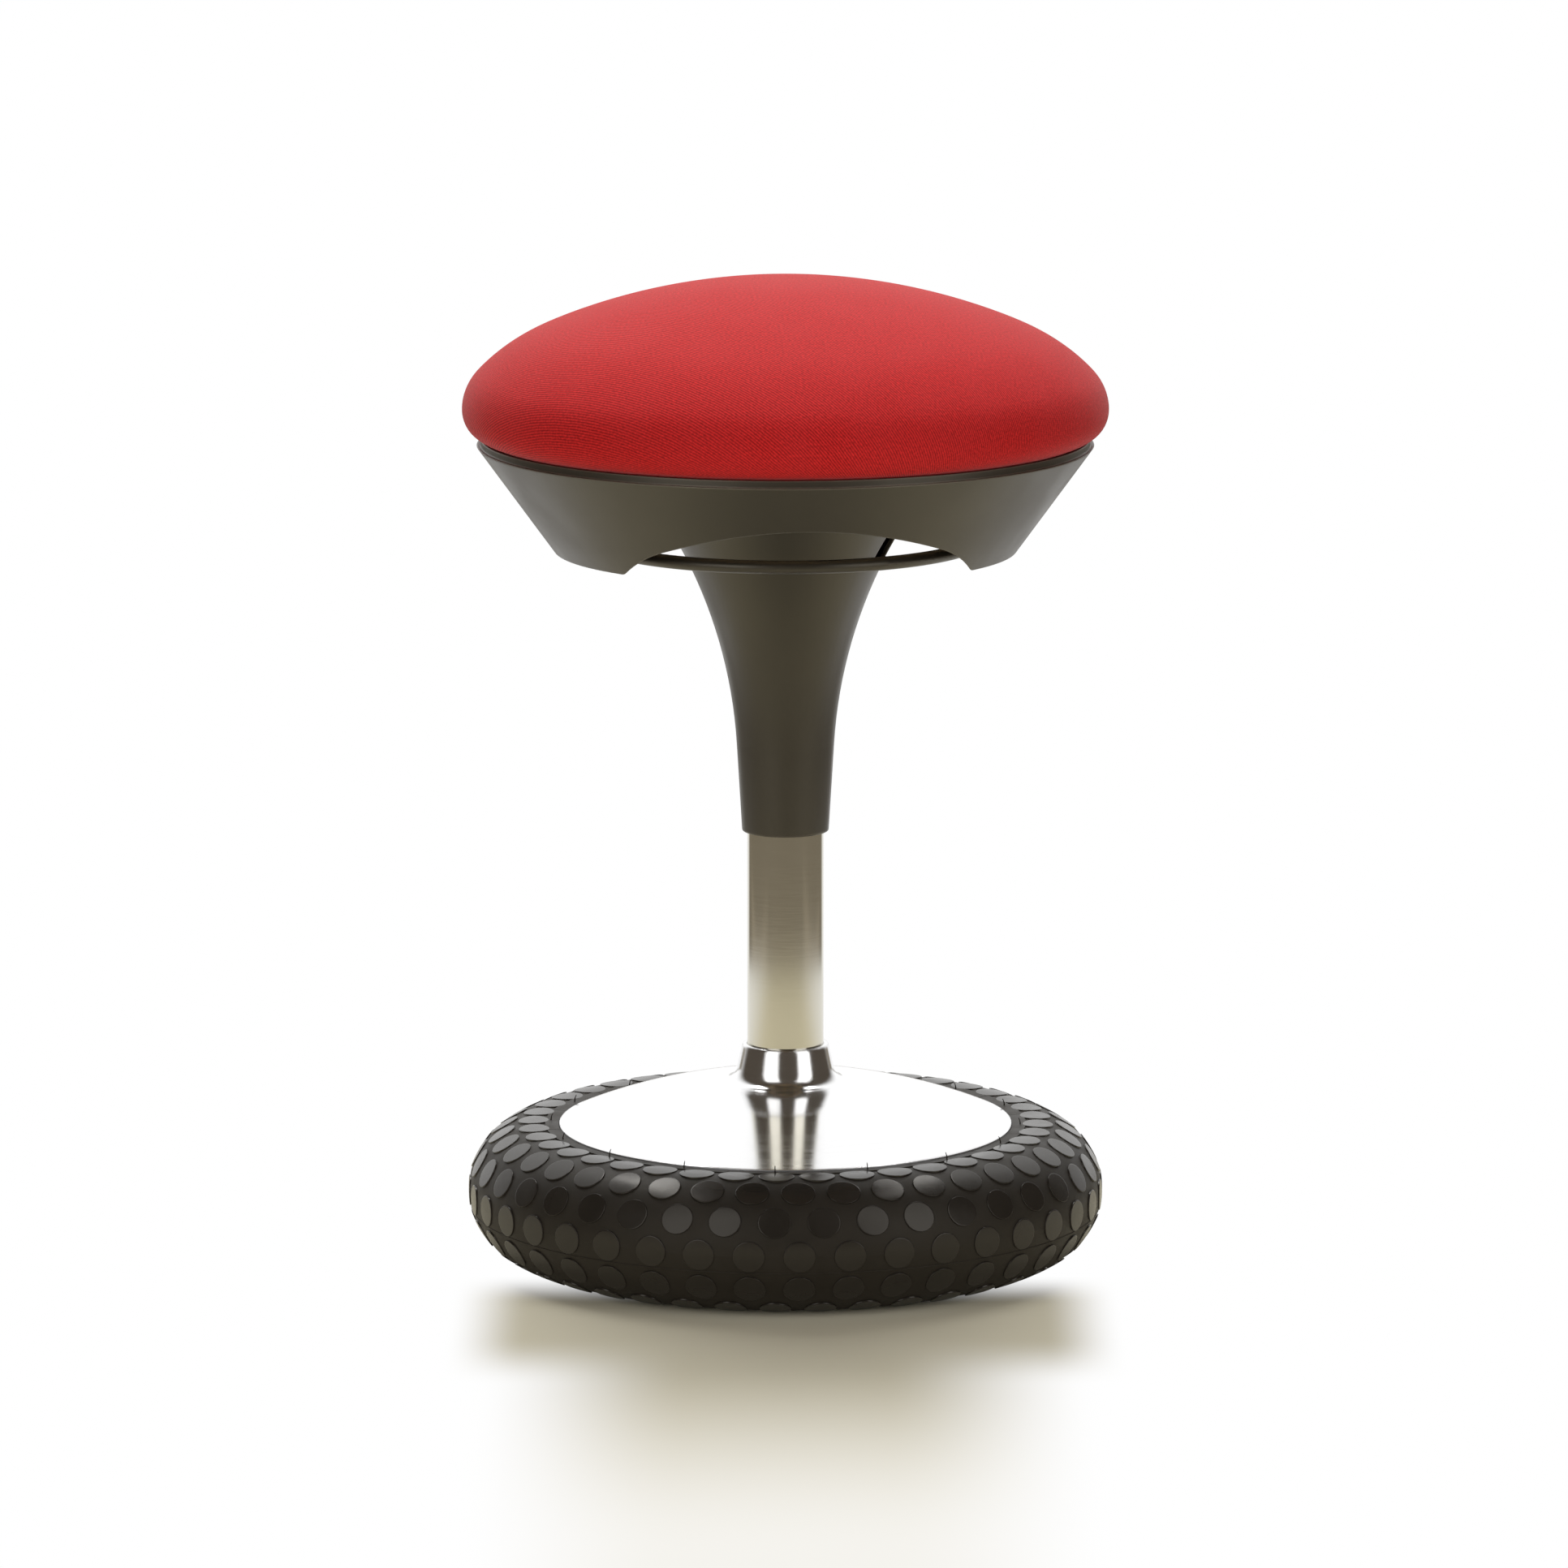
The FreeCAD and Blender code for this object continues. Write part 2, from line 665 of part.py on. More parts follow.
draw(nut_sketch, [(nut_corner * cosine(turn), nut_corner * sine(turn)) for turn in nut_turns])
extrude(piston_nut, "nut_body", "Pad", nut_sketch, d.nut_depth)
nut_thread = d.rod_neck_radius + d.fixed_gap
spin(piston_nut, "nut_bore",
     [(0, piston_top - d.cut_past), (nut_thread, piston_top - d.cut_past),
      (nut_thread, piston_top + d.nut_depth + d.cut_past), (0, piston_top + d.nut_depth + d.cut_past)],
     "Groove")

# Pressure cylinder: it rides up and down with the seat, and its tapered top sits in the socket
cylinder_top = d.taper_z + d.taper_length
cap_foot = cylinder_top - d.cylinder_cap_depth
taper_slope = d.taper_fall / d.taper_length


def cylinder_outer(height):
    return d.cylinder_radius - taper_slope * (height - d.taper_z)


def cylinder_inner(height):
    return cylinder_outer(height) - d.cylinder_wall


pressure_cylinder = new_body("pressure_cylinder")
spin(pressure_cylinder, "cylinder_tube",
     [(d.cylinder_lip_radius, d.cylinder_foot_z),
      (d.cylinder_radius, d.cylinder_foot_z),
      (d.cylinder_radius, d.taper_z),
      (cylinder_outer(cylinder_top), cylinder_top),
      (d.cylinder_mouth_radius, cylinder_top),
      (d.cylinder_mouth_radius, cap_foot),
      (cylinder_inner(cap_foot), cap_foot),
      (cylinder_bore, d.taper_z),
      (cylinder_bore, guide_foot),
      (d.cylinder_lip_radius, guide_foot)])
rod_guide = washer("rod_guide", d.rod_radius + d.running_gap, cylinder_bore - d.fixed_gap,
                   guide_foot, guide_top)
housing_foot = cap_foot - d.valve_housing_depth
valve_housing = new_body("valve_housing")
spin(valve_housing, "housing_turning",
     [(d.pin_radius + d.running_gap, housing_foot),
      (cylinder_inner(housing_foot) - d.fixed_gap, housing_foot),
      (cylinder_inner(cap_foot) - d.fixed_gap, cap_foot),
      (d.pin_radius + d.running_gap, cap_foot)])
pin_top = d.hub_z - d.fixed_gap
pin_shoulder = housing_foot - d.free_gap
pin_tip_arc = (d.pin_radius * d.pin_radius + d.pin_tip_height * d.pin_tip_height) / (2 * d.pin_tip_height)
valve_pin = new_body("valve_pin")
spin(valve_pin, "pin_turning",
     [(0, pin_shoulder - d.pin_flange_depth),
      (d.pin_flange_radius, pin_shoulder - d.pin_flange_depth),
      (d.pin_flange_radius, pin_shoulder),
      (d.pin_radius, pin_shoulder),
      (d.pin_radius, pin_top - d.pin_tip_height),
      Bend(pin_tip_arc, True),
      (0, pin_top)])

# Seat plate: a pressed steel hat with four legs, welded to the socket that sits on the taper
web_top = cylinder_top - d.taper_stand
web_foot = web_top - d.web_wall
board_foot = d.rim_z + d.cover_cloth
flange_foot = board_foot - d.web_wall
socket_foot = cylinder_top - d.socket_overlap
socket_outer = d.cylinder_radius + d.socket_wall
cone_socket = new_body("cone_socket")
spin(cone_socket, "socket_turning",
     [(cylinder_outer(socket_foot) + d.fixed_gap, socket_foot),
      (socket_outer, socket_foot),
      (socket_outer, web_top),
      (cylinder_outer(web_top) + d.fixed_gap, web_top)])
leg_run = d.shoulder_radius - d.web_radius
leg_rise = flange_foot - web_foot
leg_wall = d.web_wall * root(leg_run * leg_run + leg_rise * leg_rise) / leg_rise
leg_slope = leg_run / leg_rise
seat_plate = new_body("seat_plate", d.mechanism_turn)
spin(seat_plate, "plate_pressing",
     [(socket_outer + d.fixed_gap, web_foot),
      (d.web_radius, web_foot),
      (d.shoulder_radius, flange_foot),
      (d.flange_radius, flange_foot),
      (d.flange_radius, board_foot),
      (d.shoulder_radius + leg_slope * d.web_wall - leg_wall, board_foot),
      (d.web_radius + leg_slope * d.web_wall - leg_wall, web_top),
      (socket_outer + d.fixed_gap, web_top)])
window_sketch = new_sketch(seat_plate, "leg_window_outline", "XY_Plane", lift=web_foot)
window_end = d.flange_radius + d.cut_past
draw(window_sketch, [(d.window_start, -d.window_width / 2), (window_end, -d.window_width / 2),
                     (window_end, d.window_width / 2), (d.window_start, d.window_width / 2)])
leg_window = extrude(seat_plate, "leg_window", "Pocket", window_sketch, reverse=True)
circle_of(seat_plate, leg_window, d.seat_screw_count)
leg_turn = as_size(180) / d.seat_screw_count
drill(seat_plate, "flange_hole", d.seat_screw_circle, d.seat_screw_radius + d.free_gap,
      flange_foot - d.cut_past, board_foot + d.cut_past, d.seat_screw_count, leg_turn)
drill(seat_plate, "web_thread", d.cover_screw_circle, d.cover_screw_radius + d.fixed_gap,
      web_foot - d.cut_past, web_top + d.cut_past, d.seat_screw_count, leg_turn)

# Release bracket: a cup on four legs, whose underside is the fulcrum of the ring's hub
cap_underside = d.hub_z + d.hub_depth + d.fixed_gap
release_bracket = new_body("release_bracket", d.mechanism_turn)
spin(release_bracket, "bracket_pressing",
     [(0, cap_underside),
      (d.bracket_radius - d.bracket_wall, cap_underside),
      (d.bracket_radius - d.bracket_wall, web_top),
      (d.bracket_radius, web_top),
      (d.bracket_radius, cap_underside + d.bracket_cap_depth),
      (0, cap_underside + d.bracket_cap_depth)])
bracket_sketch = new_sketch(release_bracket, "bracket_window_outline", "XY_Plane", lift=web_top)
draw(bracket_sketch, [(d.hub_radius / 2, -d.bracket_window / 2),
                      (d.bracket_radius + d.cut_past, -d.bracket_window / 2),
                      (d.bracket_radius + d.cut_past, d.bracket_window / 2),
                      (d.hub_radius / 2, d.bracket_window / 2)])
bracket_opening = extrude(release_bracket, "bracket_opening", "Pocket", bracket_sketch,
                          cap_underside - web_top, reverse=True)
circle_of(release_bracket, bracket_opening, d.bracket_leg_count)

# Release ring: the wire ring, its two bent arms and the hub that lies on the valve pin
arm_z = d.hub_z + d.hub_depth - d.arm_section - d.fixed_gap
arm_run = ring_radius - d.arm_corner
arm_drop = arm_z - d.ring_z
arm_length = root(arm_run * arm_run + arm_drop * arm_drop)
arm_bend = d.arm_bend_run * arm_drop / (arm_length - arm_run)
release_ring = new_body("release_ring", d.mechanism_turn)
spin(release_ring, "ring_wire",
     [(ring_radius, d.ring_z - d.ring_section),
      Bend(d.ring_section, True),
      (ring_radius + d.ring_section, d.ring_z),
      Bend(d.ring_section, True),
      (ring_radius, d.ring_z + d.ring_section),
      Bend(d.ring_section, True),
      (ring_radius - d.ring_section, d.ring_z),
      Bend(d.ring_section, True)])
arm_path = new_sketch(release_ring, "arm_path", "XZ_Plane")
draw(arm_path, [(d.arm_start, arm_z),
                (d.arm_corner - d.arm_bend_run, arm_z),
                Bend(arm_bend, False),
                (d.arm_corner + d.arm_bend_run * arm_run / arm_length,
                 arm_z - d.arm_bend_run * arm_drop / arm_length),
                (ring_radius, d.ring_z)], closed=False)
arm_section = new_sketch(release_ring, "arm_section_outline", "YZ_Plane", lift=d.arm_start)
arm_circle = arm_section.addGeometry(Part.Circle(FreeCAD.Vector(0, arm_z.value, 0),
                                                 FreeCAD.Vector(0, 0, 1), d.arm_section.value), False)
pin_down(arm_section, arm_circle, 3, (0, arm_z))
constrain(arm_section, "Radius", arm_circle, d.arm_section)
arm = release_ring.newObject("PartDesign::AdditivePipe", "ring_arm")
arm.Profile = arm_section
arm.Spine = (arm_path, ["Edge1", "Edge2", "Edge3"])
doc.recompute()
arm_count = 2
circle_of(release_ring, arm, arm_count)
spin(release_ring, "ring_hub",
     [(0, d.hub_z), (d.hub_radius, d.hub_z), (d.hub_radius, d.hub_z + d.hub_depth),
      (0, d.hub_z + d.hub_depth)])

# Column cover: a tapered tube that flares to the seat plate, with a notch for each arm
cover_foot_radius = d.tube_radius + d.free_gap + d.cover_wall
cover_waist_radius = cover_foot_radius + d.cover_spread
waist_run = cover_waist_radius - cover_foot_radius
waist_rise = d.cover_waist_z - d.cover_foot_z
waist_length = root(waist_run * waist_run + waist_rise * waist_rise)
flare_radius_at = cover_waist_radius + d.cover_flare * waist_rise / waist_length
flare_z_at = d.cover_waist_z - d.cover_flare * waist_run / waist_length
inner_flare = d.cover_flare + d.cover_wall


def on_flare(arc, height):
    rise = height - flare_z_at
    return (flare_radius_at - root(arc * arc - rise * rise), height)


cover_foot_bore = cover_foot_radius - d.cover_wall * waist_length / waist_rise
column_cover = new_body("column_cover", d.mechanism_turn)
spin(column_cover, "cover_moulding",
     [(cover_foot_bore, d.cover_foot_z),
      (cover_foot_radius, d.cover_foot_z),
      (cover_waist_radius, d.cover_waist_z),
      Bend(d.cover_flare, False),
      on_flare(d.cover_flare, d.cover_top_z),
      on_flare(inner_flare, d.cover_top_z),
      Bend(inner_flare, True),
      on_flare(inner_flare, web_foot),
      (d.ledge_radius, web_foot),
      (d.ledge_radius, web_foot - d.ledge_depth),
      on_flare(inner_flare, web_foot - d.ledge_depth),
      Bend(inner_flare, True),
      (flare_radius_at - inner_flare * waist_rise / waist_length,
       flare_z_at + inner_flare * waist_run / waist_length)])
fillet_rings(column_cover, "cover_foot_round", d.cover_edge, [(cover_foot_radius, d.cover_foot_z)])
notch_sketch = new_sketch(column_cover, "arm_notch_outline", "YZ_Plane")
draw(notch_sketch, [(-d.notch_width / 2, d.notch_foot_z), (d.notch_width / 2, d.notch_foot_z),
                    (d.notch_width / 2, d.cover_top_z + d.cut_past),
                    (-d.notch_width / 2, d.cover_top_z + d.cut_past)])
extrude(column_cover, "arm_notches", "Pocket", notch_sketch, symmetric=True)
drill(column_cover, "ledge_hole", d.cover_screw_circle, d.cover_screw_radius + d.free_gap,
      web_foot - d.ledge_depth - d.cut_past, web_foot + d.cut_past, d.seat_screw_count, leg_turn)
cover_screws = screw_set("cover_screws", d.cover_screw_circle, d.seat_screw_count,
                         d.cover_screw_radius, d.cover_screw_head, web_foot - d.ledge_depth,
                         d.cover_screw_head_depth, web_top, d.mechanism_turn, leg_turn)

# Seat shell: a thin plastic cone with two finger arches, gussets and screw bosses
shell_slope = (rim_radius - shell_foot_radius) / (d.rim_z - d.shell_foot_z)
shell_run = d.shell_wall * root(1 + shell_slope * shell_slope)
shell_ledge_foot = d.rim_z - d.shell_wall
upstand_radius = rim_radius - d.upstand_inset
upstand_bore = upstand_radius - d.upstand_wall
shell_ledge_radius = rim_radius - d.shell_ledge_width
shell_screw_circle = shell_ledge_radius + d.shell_screw_inset


def shell_inner(height):
    return shell_foot_radius + shell_slope * (height - d.shell_foot_z) - shell_run


seat_shell = new_body("seat_shell")
spin(seat_shell, "shell_moulding",
     [(shell_inner(d.shell_foot_z), d.shell_foot_z),
      (shell_foot_radius, d.shell_foot_z),
      (rim_radius, d.rim_z),
      (upstand_radius, d.rim_z),
      (upstand_radius, d.rim_z + d.upstand_height),
      (upstand_bore, d.rim_z + d.upstand_height),
      (upstand_bore, d.rim_z),
      (shell_ledge_radius, d.rim_z),
      (shell_ledge_radius, shell_ledge_foot),
      (shell_inner(shell_ledge_foot), shell_ledge_foot)])
fillet_rings(seat_shell, "shell_foot_round", d.shell_edge, [(shell_foot_radius, d.shell_foot_z)])
gusset_foot = shell_ledge_foot - d.gusset_height
gusset_sketch = new_sketch(seat_shell, "gusset_outline", "XZ_Plane", turn=d.gusset_turn)
draw(gusset_sketch, [(shell_ledge_radius + d.fuse_depth, shell_ledge_foot + d.fuse_depth),
                     (shell_inner(gusset_foot) + shell_run / 2, gusset_foot),
                     (shell_inner(shell_ledge_foot) + shell_run / 2, shell_ledge_foot),
                     (shell_inner(shell_ledge_foot), shell_ledge_foot + d.fuse_depth)])
gusset = extrude(seat_shell, "gusset", "Pad", gusset_sketch, d.gusset_wall, symmetric=True)
circle_of(seat_shell, gusset, d.gusset_count)
shell_boss_foot = shell_ledge_foot - d.shell_boss_depth
shell_boss = spin(seat_shell, "shell_boss",
                  [(shell_screw_circle, shell_boss_foot),
                   (shell_screw_circle + d.shell_boss_radius, shell_boss_foot),
                   (shell_screw_circle + d.shell_boss_radius, shell_ledge_foot + d.fuse_depth),
                   (shell_screw_circle, shell_ledge_foot + d.fuse_depth)],
                  "Revolution", shell_screw_circle)
circle_of(seat_shell, shell_boss, d.shell_screw_count)
drill(seat_shell, "shell_boss_hole", shell_screw_circle, d.shell_screw_radius + d.free_gap,
      shell_boss_foot - d.cut_past, d.rim_z + d.cut_past, d.shell_screw_count)
arch_top = d.shell_foot_z + d.arch_rise
arch_fall = d.arch_arc - root(d.arch_arc * d.arch_arc - d.arch_shoulder * d.arch_shoulder)
arch_shoulder_z = arch_top - arch_fall
arch_sketch = new_sketch(seat_shell, "finger_arch_outline", "XZ_Plane")
arch_foot = d.arch_half_width + d.arch_tip_run
arch_side = (d.arch_half_width - d.arch_tip_back, d.shell_foot_z + d.arch_tip_rise)
draw(arch_sketch, [(-arch_foot, d.shell_foot_z - d.cut_past),
                   (arch_foot, d.shell_foot_z - d.cut_past),
                   (arch_foot, d.shell_foot_z),
                   Bend(d.arch_tip_arc, False),
                   arch_side,
                   Bend(d.arch_shoulder_arc, True),
                   (d.arch_shoulder, arch_shoulder_z),
                   Bend(d.arch_arc, True),
                   (-d.arch_shoulder, arch_shoulder_z),
                   Bend(d.arch_shoulder_arc, True),
                   (-arch_side[0], arch_side[1]),
                   Bend(d.arch_tip_arc, False),
                   (-arch_foot, d.shell_foot_z)])
extrude(seat_shell, "finger_arches", "Pocket", arch_sketch, symmetric=True)

# Seat board: plywood, with T-nuts for the plate and pilot holes for the shell's screws
board_top = board_foot + d.board_depth
seat_board = washer("seat_board", 0, board_radius, board_foot, board_top)
board_turn = d.mechanism_turn + leg_turn
drill(seat_board, "nut_hole", d.seat_screw_circle, d.nut_barrel_radius + d.fixed_gap,
      board_foot - d.cut_past, board_top + d.cut_past, d.seat_screw_count, board_turn)
drill(seat_board, "nut_counterbore", d.seat_screw_circle, d.nut_flange_radius + d.fixed_gap,
      board_top - d.nut_flange_depth, board_top + d.cut_past, d.seat_screw_count, board_turn)
drill(seat_board, "pilot_hole", shell_screw_circle, d.shell_screw_radius + d.fixed_gap,
      board_foot - d.cut_past, board_foot + d.shell_screw_bite + d.thread_spare, d.shell_screw_count)
nut_inner = d.seat_screw_radius + d.fixed_gap
t_nuts = new_body("t_nuts", d.mechanism_turn, groups=True)
t_nut = spin(t_nuts, "t_nut",
             [(d.seat_screw_circle + nut_inner, board_foot + d.nut_barrel_recess),
              (d.seat_screw_circle + d.nut_barrel_radius, board_foot + d.nut_barrel_recess),
              (d.seat_screw_circle + d.nut_barrel_radius, board_top - d.nut_flange_depth),
              (d.seat_screw_circle + d.nut_flange_radius, board_top - d.nut_flange_depth),
              (d.seat_screw_circle + d.nut_flange_radius, board_top - d.fixed_gap),
              (d.seat_screw_circle + nut_inner, board_top - d.fixed_gap)],
             "Revolution", d.seat_screw_circle, leg_turn)
circle_of(t_nuts, t_nut, d.seat_screw_count)
seat_screws = screw_set("seat_screws", d.seat_screw_circle, d.seat_screw_count, d.seat_screw_radius,
                        d.seat_screw_head, flange_foot, d.seat_screw_head_depth,
                        flange_foot + d.seat_screw_length, d.mechanism_turn, leg_turn)
shell_screws = screw_set("shell_screws", shell_screw_circle, d.shell_screw_count,
                         d.shell_screw_radius, d.shell_screw_head, shell_boss_foot,
                         d.shell_screw_head_depth, board_foot + d.shell_screw_bite)

# Cushion: the crown, middle and shoulder arcs meet smoothly; the cover and foam share their centres
crown_sine, crown_cosine = sine(d.crown_angle), cosine(d.crown_angle)
shoulder_sine, shoulder_cosine = sine(d.shoulder_angle), cosine(d.shoulder_angle)
reach_left = d.cushion_radius - d.shoulder_arc * (1 - shoulder_sine)
rise_left = d.crown_height - d.shoulder_arc * shoulder_cosine
sine_step = shoulder_sine - crown_sine
cosine_step = crown_cosine - shoulder_cosine
share = crown_sine * cosine_step - (1 - crown_cosine) * sine_step
crown_arc = (reach_left * cosine_step - rise_left * sine_step) / share
middle_arc = (rise_left * crown_sine - reach_left * (1 - crown_cosine)) / share
crown_centre = (as_size(0), d.seat_top_z - crown_arc)
middle_centre = ((crown_arc - middle_arc) * crown_sine,
                 crown_centre[1] + (crown_arc - middle_arc) * crown_cosine)
equator_z = d.seat_top_z - d.crown_height
shoulder_centre = (d.cushion_radius - d.shoulder_arc, equator_z)
under_centre = (d.cushion_radius - d.under_arc, equator_z)


def dome_line(inset):
    """The cushion's outline from the axis to its widest point, inset by a thickness."""
    return [(0, d.seat_top_z - inset),
            Bend(crown_arc - inset, False),
            (crown_centre[0] + (crown_arc - inset) * crown_sine,
             crown_centre[1] + (crown_arc - inset) * crown_cosine),
            Bend(middle_arc - inset, False),
            (shoulder_centre[0] + (d.shoulder_arc - inset) * shoulder_sine,
             shoulder_centre[1] + (d.shoulder_arc - inset) * shoulder_cosine),
            Bend(d.shoulder_arc - inset, False),
            (d.cushion_radius - inset, equator_z),
            Bend(d.under_arc - inset, False)]


def under_point(inset, radius):
    """The point of the cushion's rounded underside at a radius."""
    arc = d.under_arc - inset
    reach = radius - under_centre[0]
    return (radius, under_centre[1] - root(arc * arc - reach * reach))


def walked_back(path):
    """A path walked the other way round, so that its arcs turn the other way too."""
    return [Bend(item.radius, not item.left) if isinstance(item, Bend) else item
            for item in reversed(path)]


foam_inset = d.cover_cloth + d.fixed_gap
cover_bore = board_radius + d.fixed_gap
hem_radius = board_radius - d.hem_width
cover_outer = cover_bore + d.cover_cloth
seat_foam = new_body("seat_foam")
spin(seat_foam, "foam_moulding",
     dome_line(foam_inset) + [under_point(foam_inset, cover_bore),
                              (cover_bore, board_top),
                              (0, board_top)])
seat_cover = new_body("seat_cover")
spin(seat_cover, "cover_sewing",
     dome_line(0) + [under_point(0, cover_outer),
                     (cover_outer, d.rim_z),
                     (hem_radius, d.rim_z),
                     (hem_radius, board_foot),
                     (cover_bore, board_foot),
                     under_point(d.cover_cloth, cover_bore)] +
     walked_back(dome_line(d.cover_cloth)))

# Checks, then one file for each sub-part
doc.recompute()
faults = [item.Name for item in doc.Objects
          if "Invalid" in item.State or "Error" in item.State]
bodies = [item for item in doc.Objects if item.TypeId == "PartDesign::Body"]
for body in bodies:
    if body.Shape.isNull() or not body.Shape.isValid() or not body.Shape.Solids:
        faults.append(body.Label)
if faults:
    raise RuntimeError("failed pieces: " + ", ".join(faults))
os.makedirs("parts", exist_ok=True)
for body in bodies:
    body.Shape.exportStep("parts/%s.step" % body.Label)
    print(body.Label, len(body.Shape.Solids), "solids", round(body.Shape.Volume), "mm3")
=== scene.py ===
import math

import bpy
from mathutils import Matrix, Vector


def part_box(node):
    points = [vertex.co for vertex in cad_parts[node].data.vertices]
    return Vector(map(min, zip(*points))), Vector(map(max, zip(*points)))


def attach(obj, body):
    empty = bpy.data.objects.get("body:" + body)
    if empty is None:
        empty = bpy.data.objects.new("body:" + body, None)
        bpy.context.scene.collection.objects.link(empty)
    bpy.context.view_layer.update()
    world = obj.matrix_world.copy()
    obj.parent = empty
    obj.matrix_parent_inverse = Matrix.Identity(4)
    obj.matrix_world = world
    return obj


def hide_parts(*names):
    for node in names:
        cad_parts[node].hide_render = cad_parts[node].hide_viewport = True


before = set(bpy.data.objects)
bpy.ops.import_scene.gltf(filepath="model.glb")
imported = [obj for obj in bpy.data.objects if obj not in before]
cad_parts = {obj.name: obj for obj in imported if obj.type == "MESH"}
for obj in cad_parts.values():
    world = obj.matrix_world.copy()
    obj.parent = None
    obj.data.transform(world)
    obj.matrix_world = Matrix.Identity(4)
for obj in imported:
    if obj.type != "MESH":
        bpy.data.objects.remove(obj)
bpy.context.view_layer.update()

bpy.ops.object.select_all(action="DESELECT")


# The camera: a long lens far off, looking a little down, slightly to the left of the finger arch.
# Its place was solved from the ellipses of the seat, the polished disc and the tyre.

camera_turn = math.radians(4.5)
camera_pitch = math.radians(10.218)
camera_distance = 5.2834
camera_height = 1.2195
camera_sideways = -0.0008
lens = bpy.data.cameras.new("long_lens")
lens.lens = 220.71
lens.sensor_width = 36
camera = bpy.data.objects.new("camera", lens)
bpy.context.scene.collection.objects.link(camera)
camera.location = (-camera_distance * math.sin(camera_turn) + camera_sideways,
                   -camera_distance * math.cos(camera_turn), camera_height)
camera.rotation_euler = (math.pi / 2 - camera_pitch, 0, -camera_turn)
bpy.context.scene.camera = camera


# The room: a white wall behind the stool, and darkness all round it. The camera sees plain white,
# and only the polished metal shows where the wall fades out, to the sides and to the top.

def node(tree, kind, feeds=None, **settings):
    """Adds a shader node; each fed socket gets a number, a colour or another node's output."""
    made = tree.nodes.new("ShaderNode" + kind)
    for setting, value in settings.items():
        setattr(made, setting, value)
    for socket, value in (feeds or {}).items():
        if isinstance(value, bpy.types.NodeSocket):
            tree.links.new(value, made.inputs[socket])
        else:
            made.inputs[socket].default_value = value
    return made


def maths(tree, operation, *values):
    return node(tree, "Math", dict(enumerate(values)), operation=operation).outputs[0]


def product(tree, first, *others):
    for other in others:
        first = maths(tree, "MULTIPLY", first, other)
    return first


def rest_of(tree, share):
    return maths(tree, "SUBTRACT", 1.0, share)


def level_length(tree, x, y):
    """The length of a level vector."""
    return maths(tree, "SQRT", maths(tree, "ADD", maths(tree, "POWER", x, 2.0),
                                     maths(tree, "POWER", y, 2.0)))


def ramp(tree, value, start, end, low=0.0, high=1.0):
    """A smooth step from low to high while the value goes from start to end."""
    return node(tree, "MapRange", {"Value": value, "From Min": start, "From Max": end,
                                   "To Min": low, "To Max": high},
                interpolation_type="SMOOTHSTEP").outputs["Result"]


def blend_colours(tree, share, first, second):
    mix = node(tree, "Mix", {"Factor": share}, data_type="RGBA")
    for socket, value in ((6, first), (7, second)):
        if isinstance(value, bpy.types.NodeSocket):
            tree.links.new(value, mix.inputs[socket])
        else:
            mix.inputs[socket].default_value = (*value, 1)
    return mix.outputs[2]


def separated(tree, vector):
    return node(tree, "SeparateXYZ", {"Vector": vector}).outputs


wall_half_angle = (62, 28)
wall_top_angle = (74, 48)
wall_light = 1.15
white_colour = (1, 1, 1)
room_colour = (0.078, 0.064, 0.05)
studio = bpy.data.worlds.new("white_wall_in_a_dark_room")
bpy.context.scene.world = studio
studio.use_nodes = True
tree = studio.node_tree
tree.nodes.clear()
way = separated(tree, node(tree, "TexCoord").outputs["Generated"])
to_the_back = maths(tree, "DIVIDE", way["Y"], level_length(tree, way["X"], way["Y"]))
wall_sides = ramp(tree, to_the_back, *[math.cos(math.radians(turn)) for turn in wall_half_angle])
wall_top = ramp(tree, way["Z"], *[math.sin(math.radians(turn)) for turn in wall_top_angle])
surroundings = blend_colours(tree, product(tree, wall_sides, wall_top), room_colour,
                             (wall_light, wall_light, wall_light))
seen = node(tree, "LightPath").outputs["Is Camera Ray"]
backdrop = node(tree, "Background", {"Color": blend_colours(tree, seen, surroundings, white_colour),
                                     "Strength": 1.0})
tree.links.new(backdrop.outputs[0], node(tree, "OutputWorld").inputs[0])


# The table: a sheet of warm white paper over a dark studio floor. The camera sees the paper as a
# painted white glow, except in a shaped patch in front of the tyre, where the lit paper and its
# real shadow show and fade into the glow at the patch's edges. The lit paper is coloured darker and
# warmer than white paper, which darkens that shadow. The metal mirrors lit paper near the shadow,
# painted white glow farther out up to the table's edge, and a painted dark floor glow beyond it,
# brighter to the sides; neither plane hides the part from below.

def floor_plane(name, width, front, back, height):
    bpy.ops.mesh.primitive_plane_add(size=1, location=(0, (back + front) / 2, height))
    plane = bpy.context.object
    plane.name = name
    plane.scale = (width, back - front, 1)
    bpy.ops.object.transform_apply(location=True, rotation=False, scale=True)
    return plane


def empty_material(name):
    material = bpy.data.materials.new(name)
    material.use_nodes = True
    material.node_tree.nodes.clear()
    return material


def mix_shaders(tree, share, first, second):
    return node(tree, "MixShader", {0: share, 1: first, 2: second}).outputs[0]


def glow(tree, colour, strength):
    return node(tree, "Emission", {"Color": (*colour, 1), "Strength": strength}).outputs[0]


def show_from_above(tree, surface):
    """Ends a material with the surface seen from above and nothing seen from below."""
    backfacing = node(tree, "NewGeometry").outputs["Backfacing"]
    one_sided = mix_shaders(tree, backfacing, surface, node(tree, "BsdfTransparent").outputs[0])
    tree.links.new(one_sided, node(tree, "OutputMaterial").inputs[0])


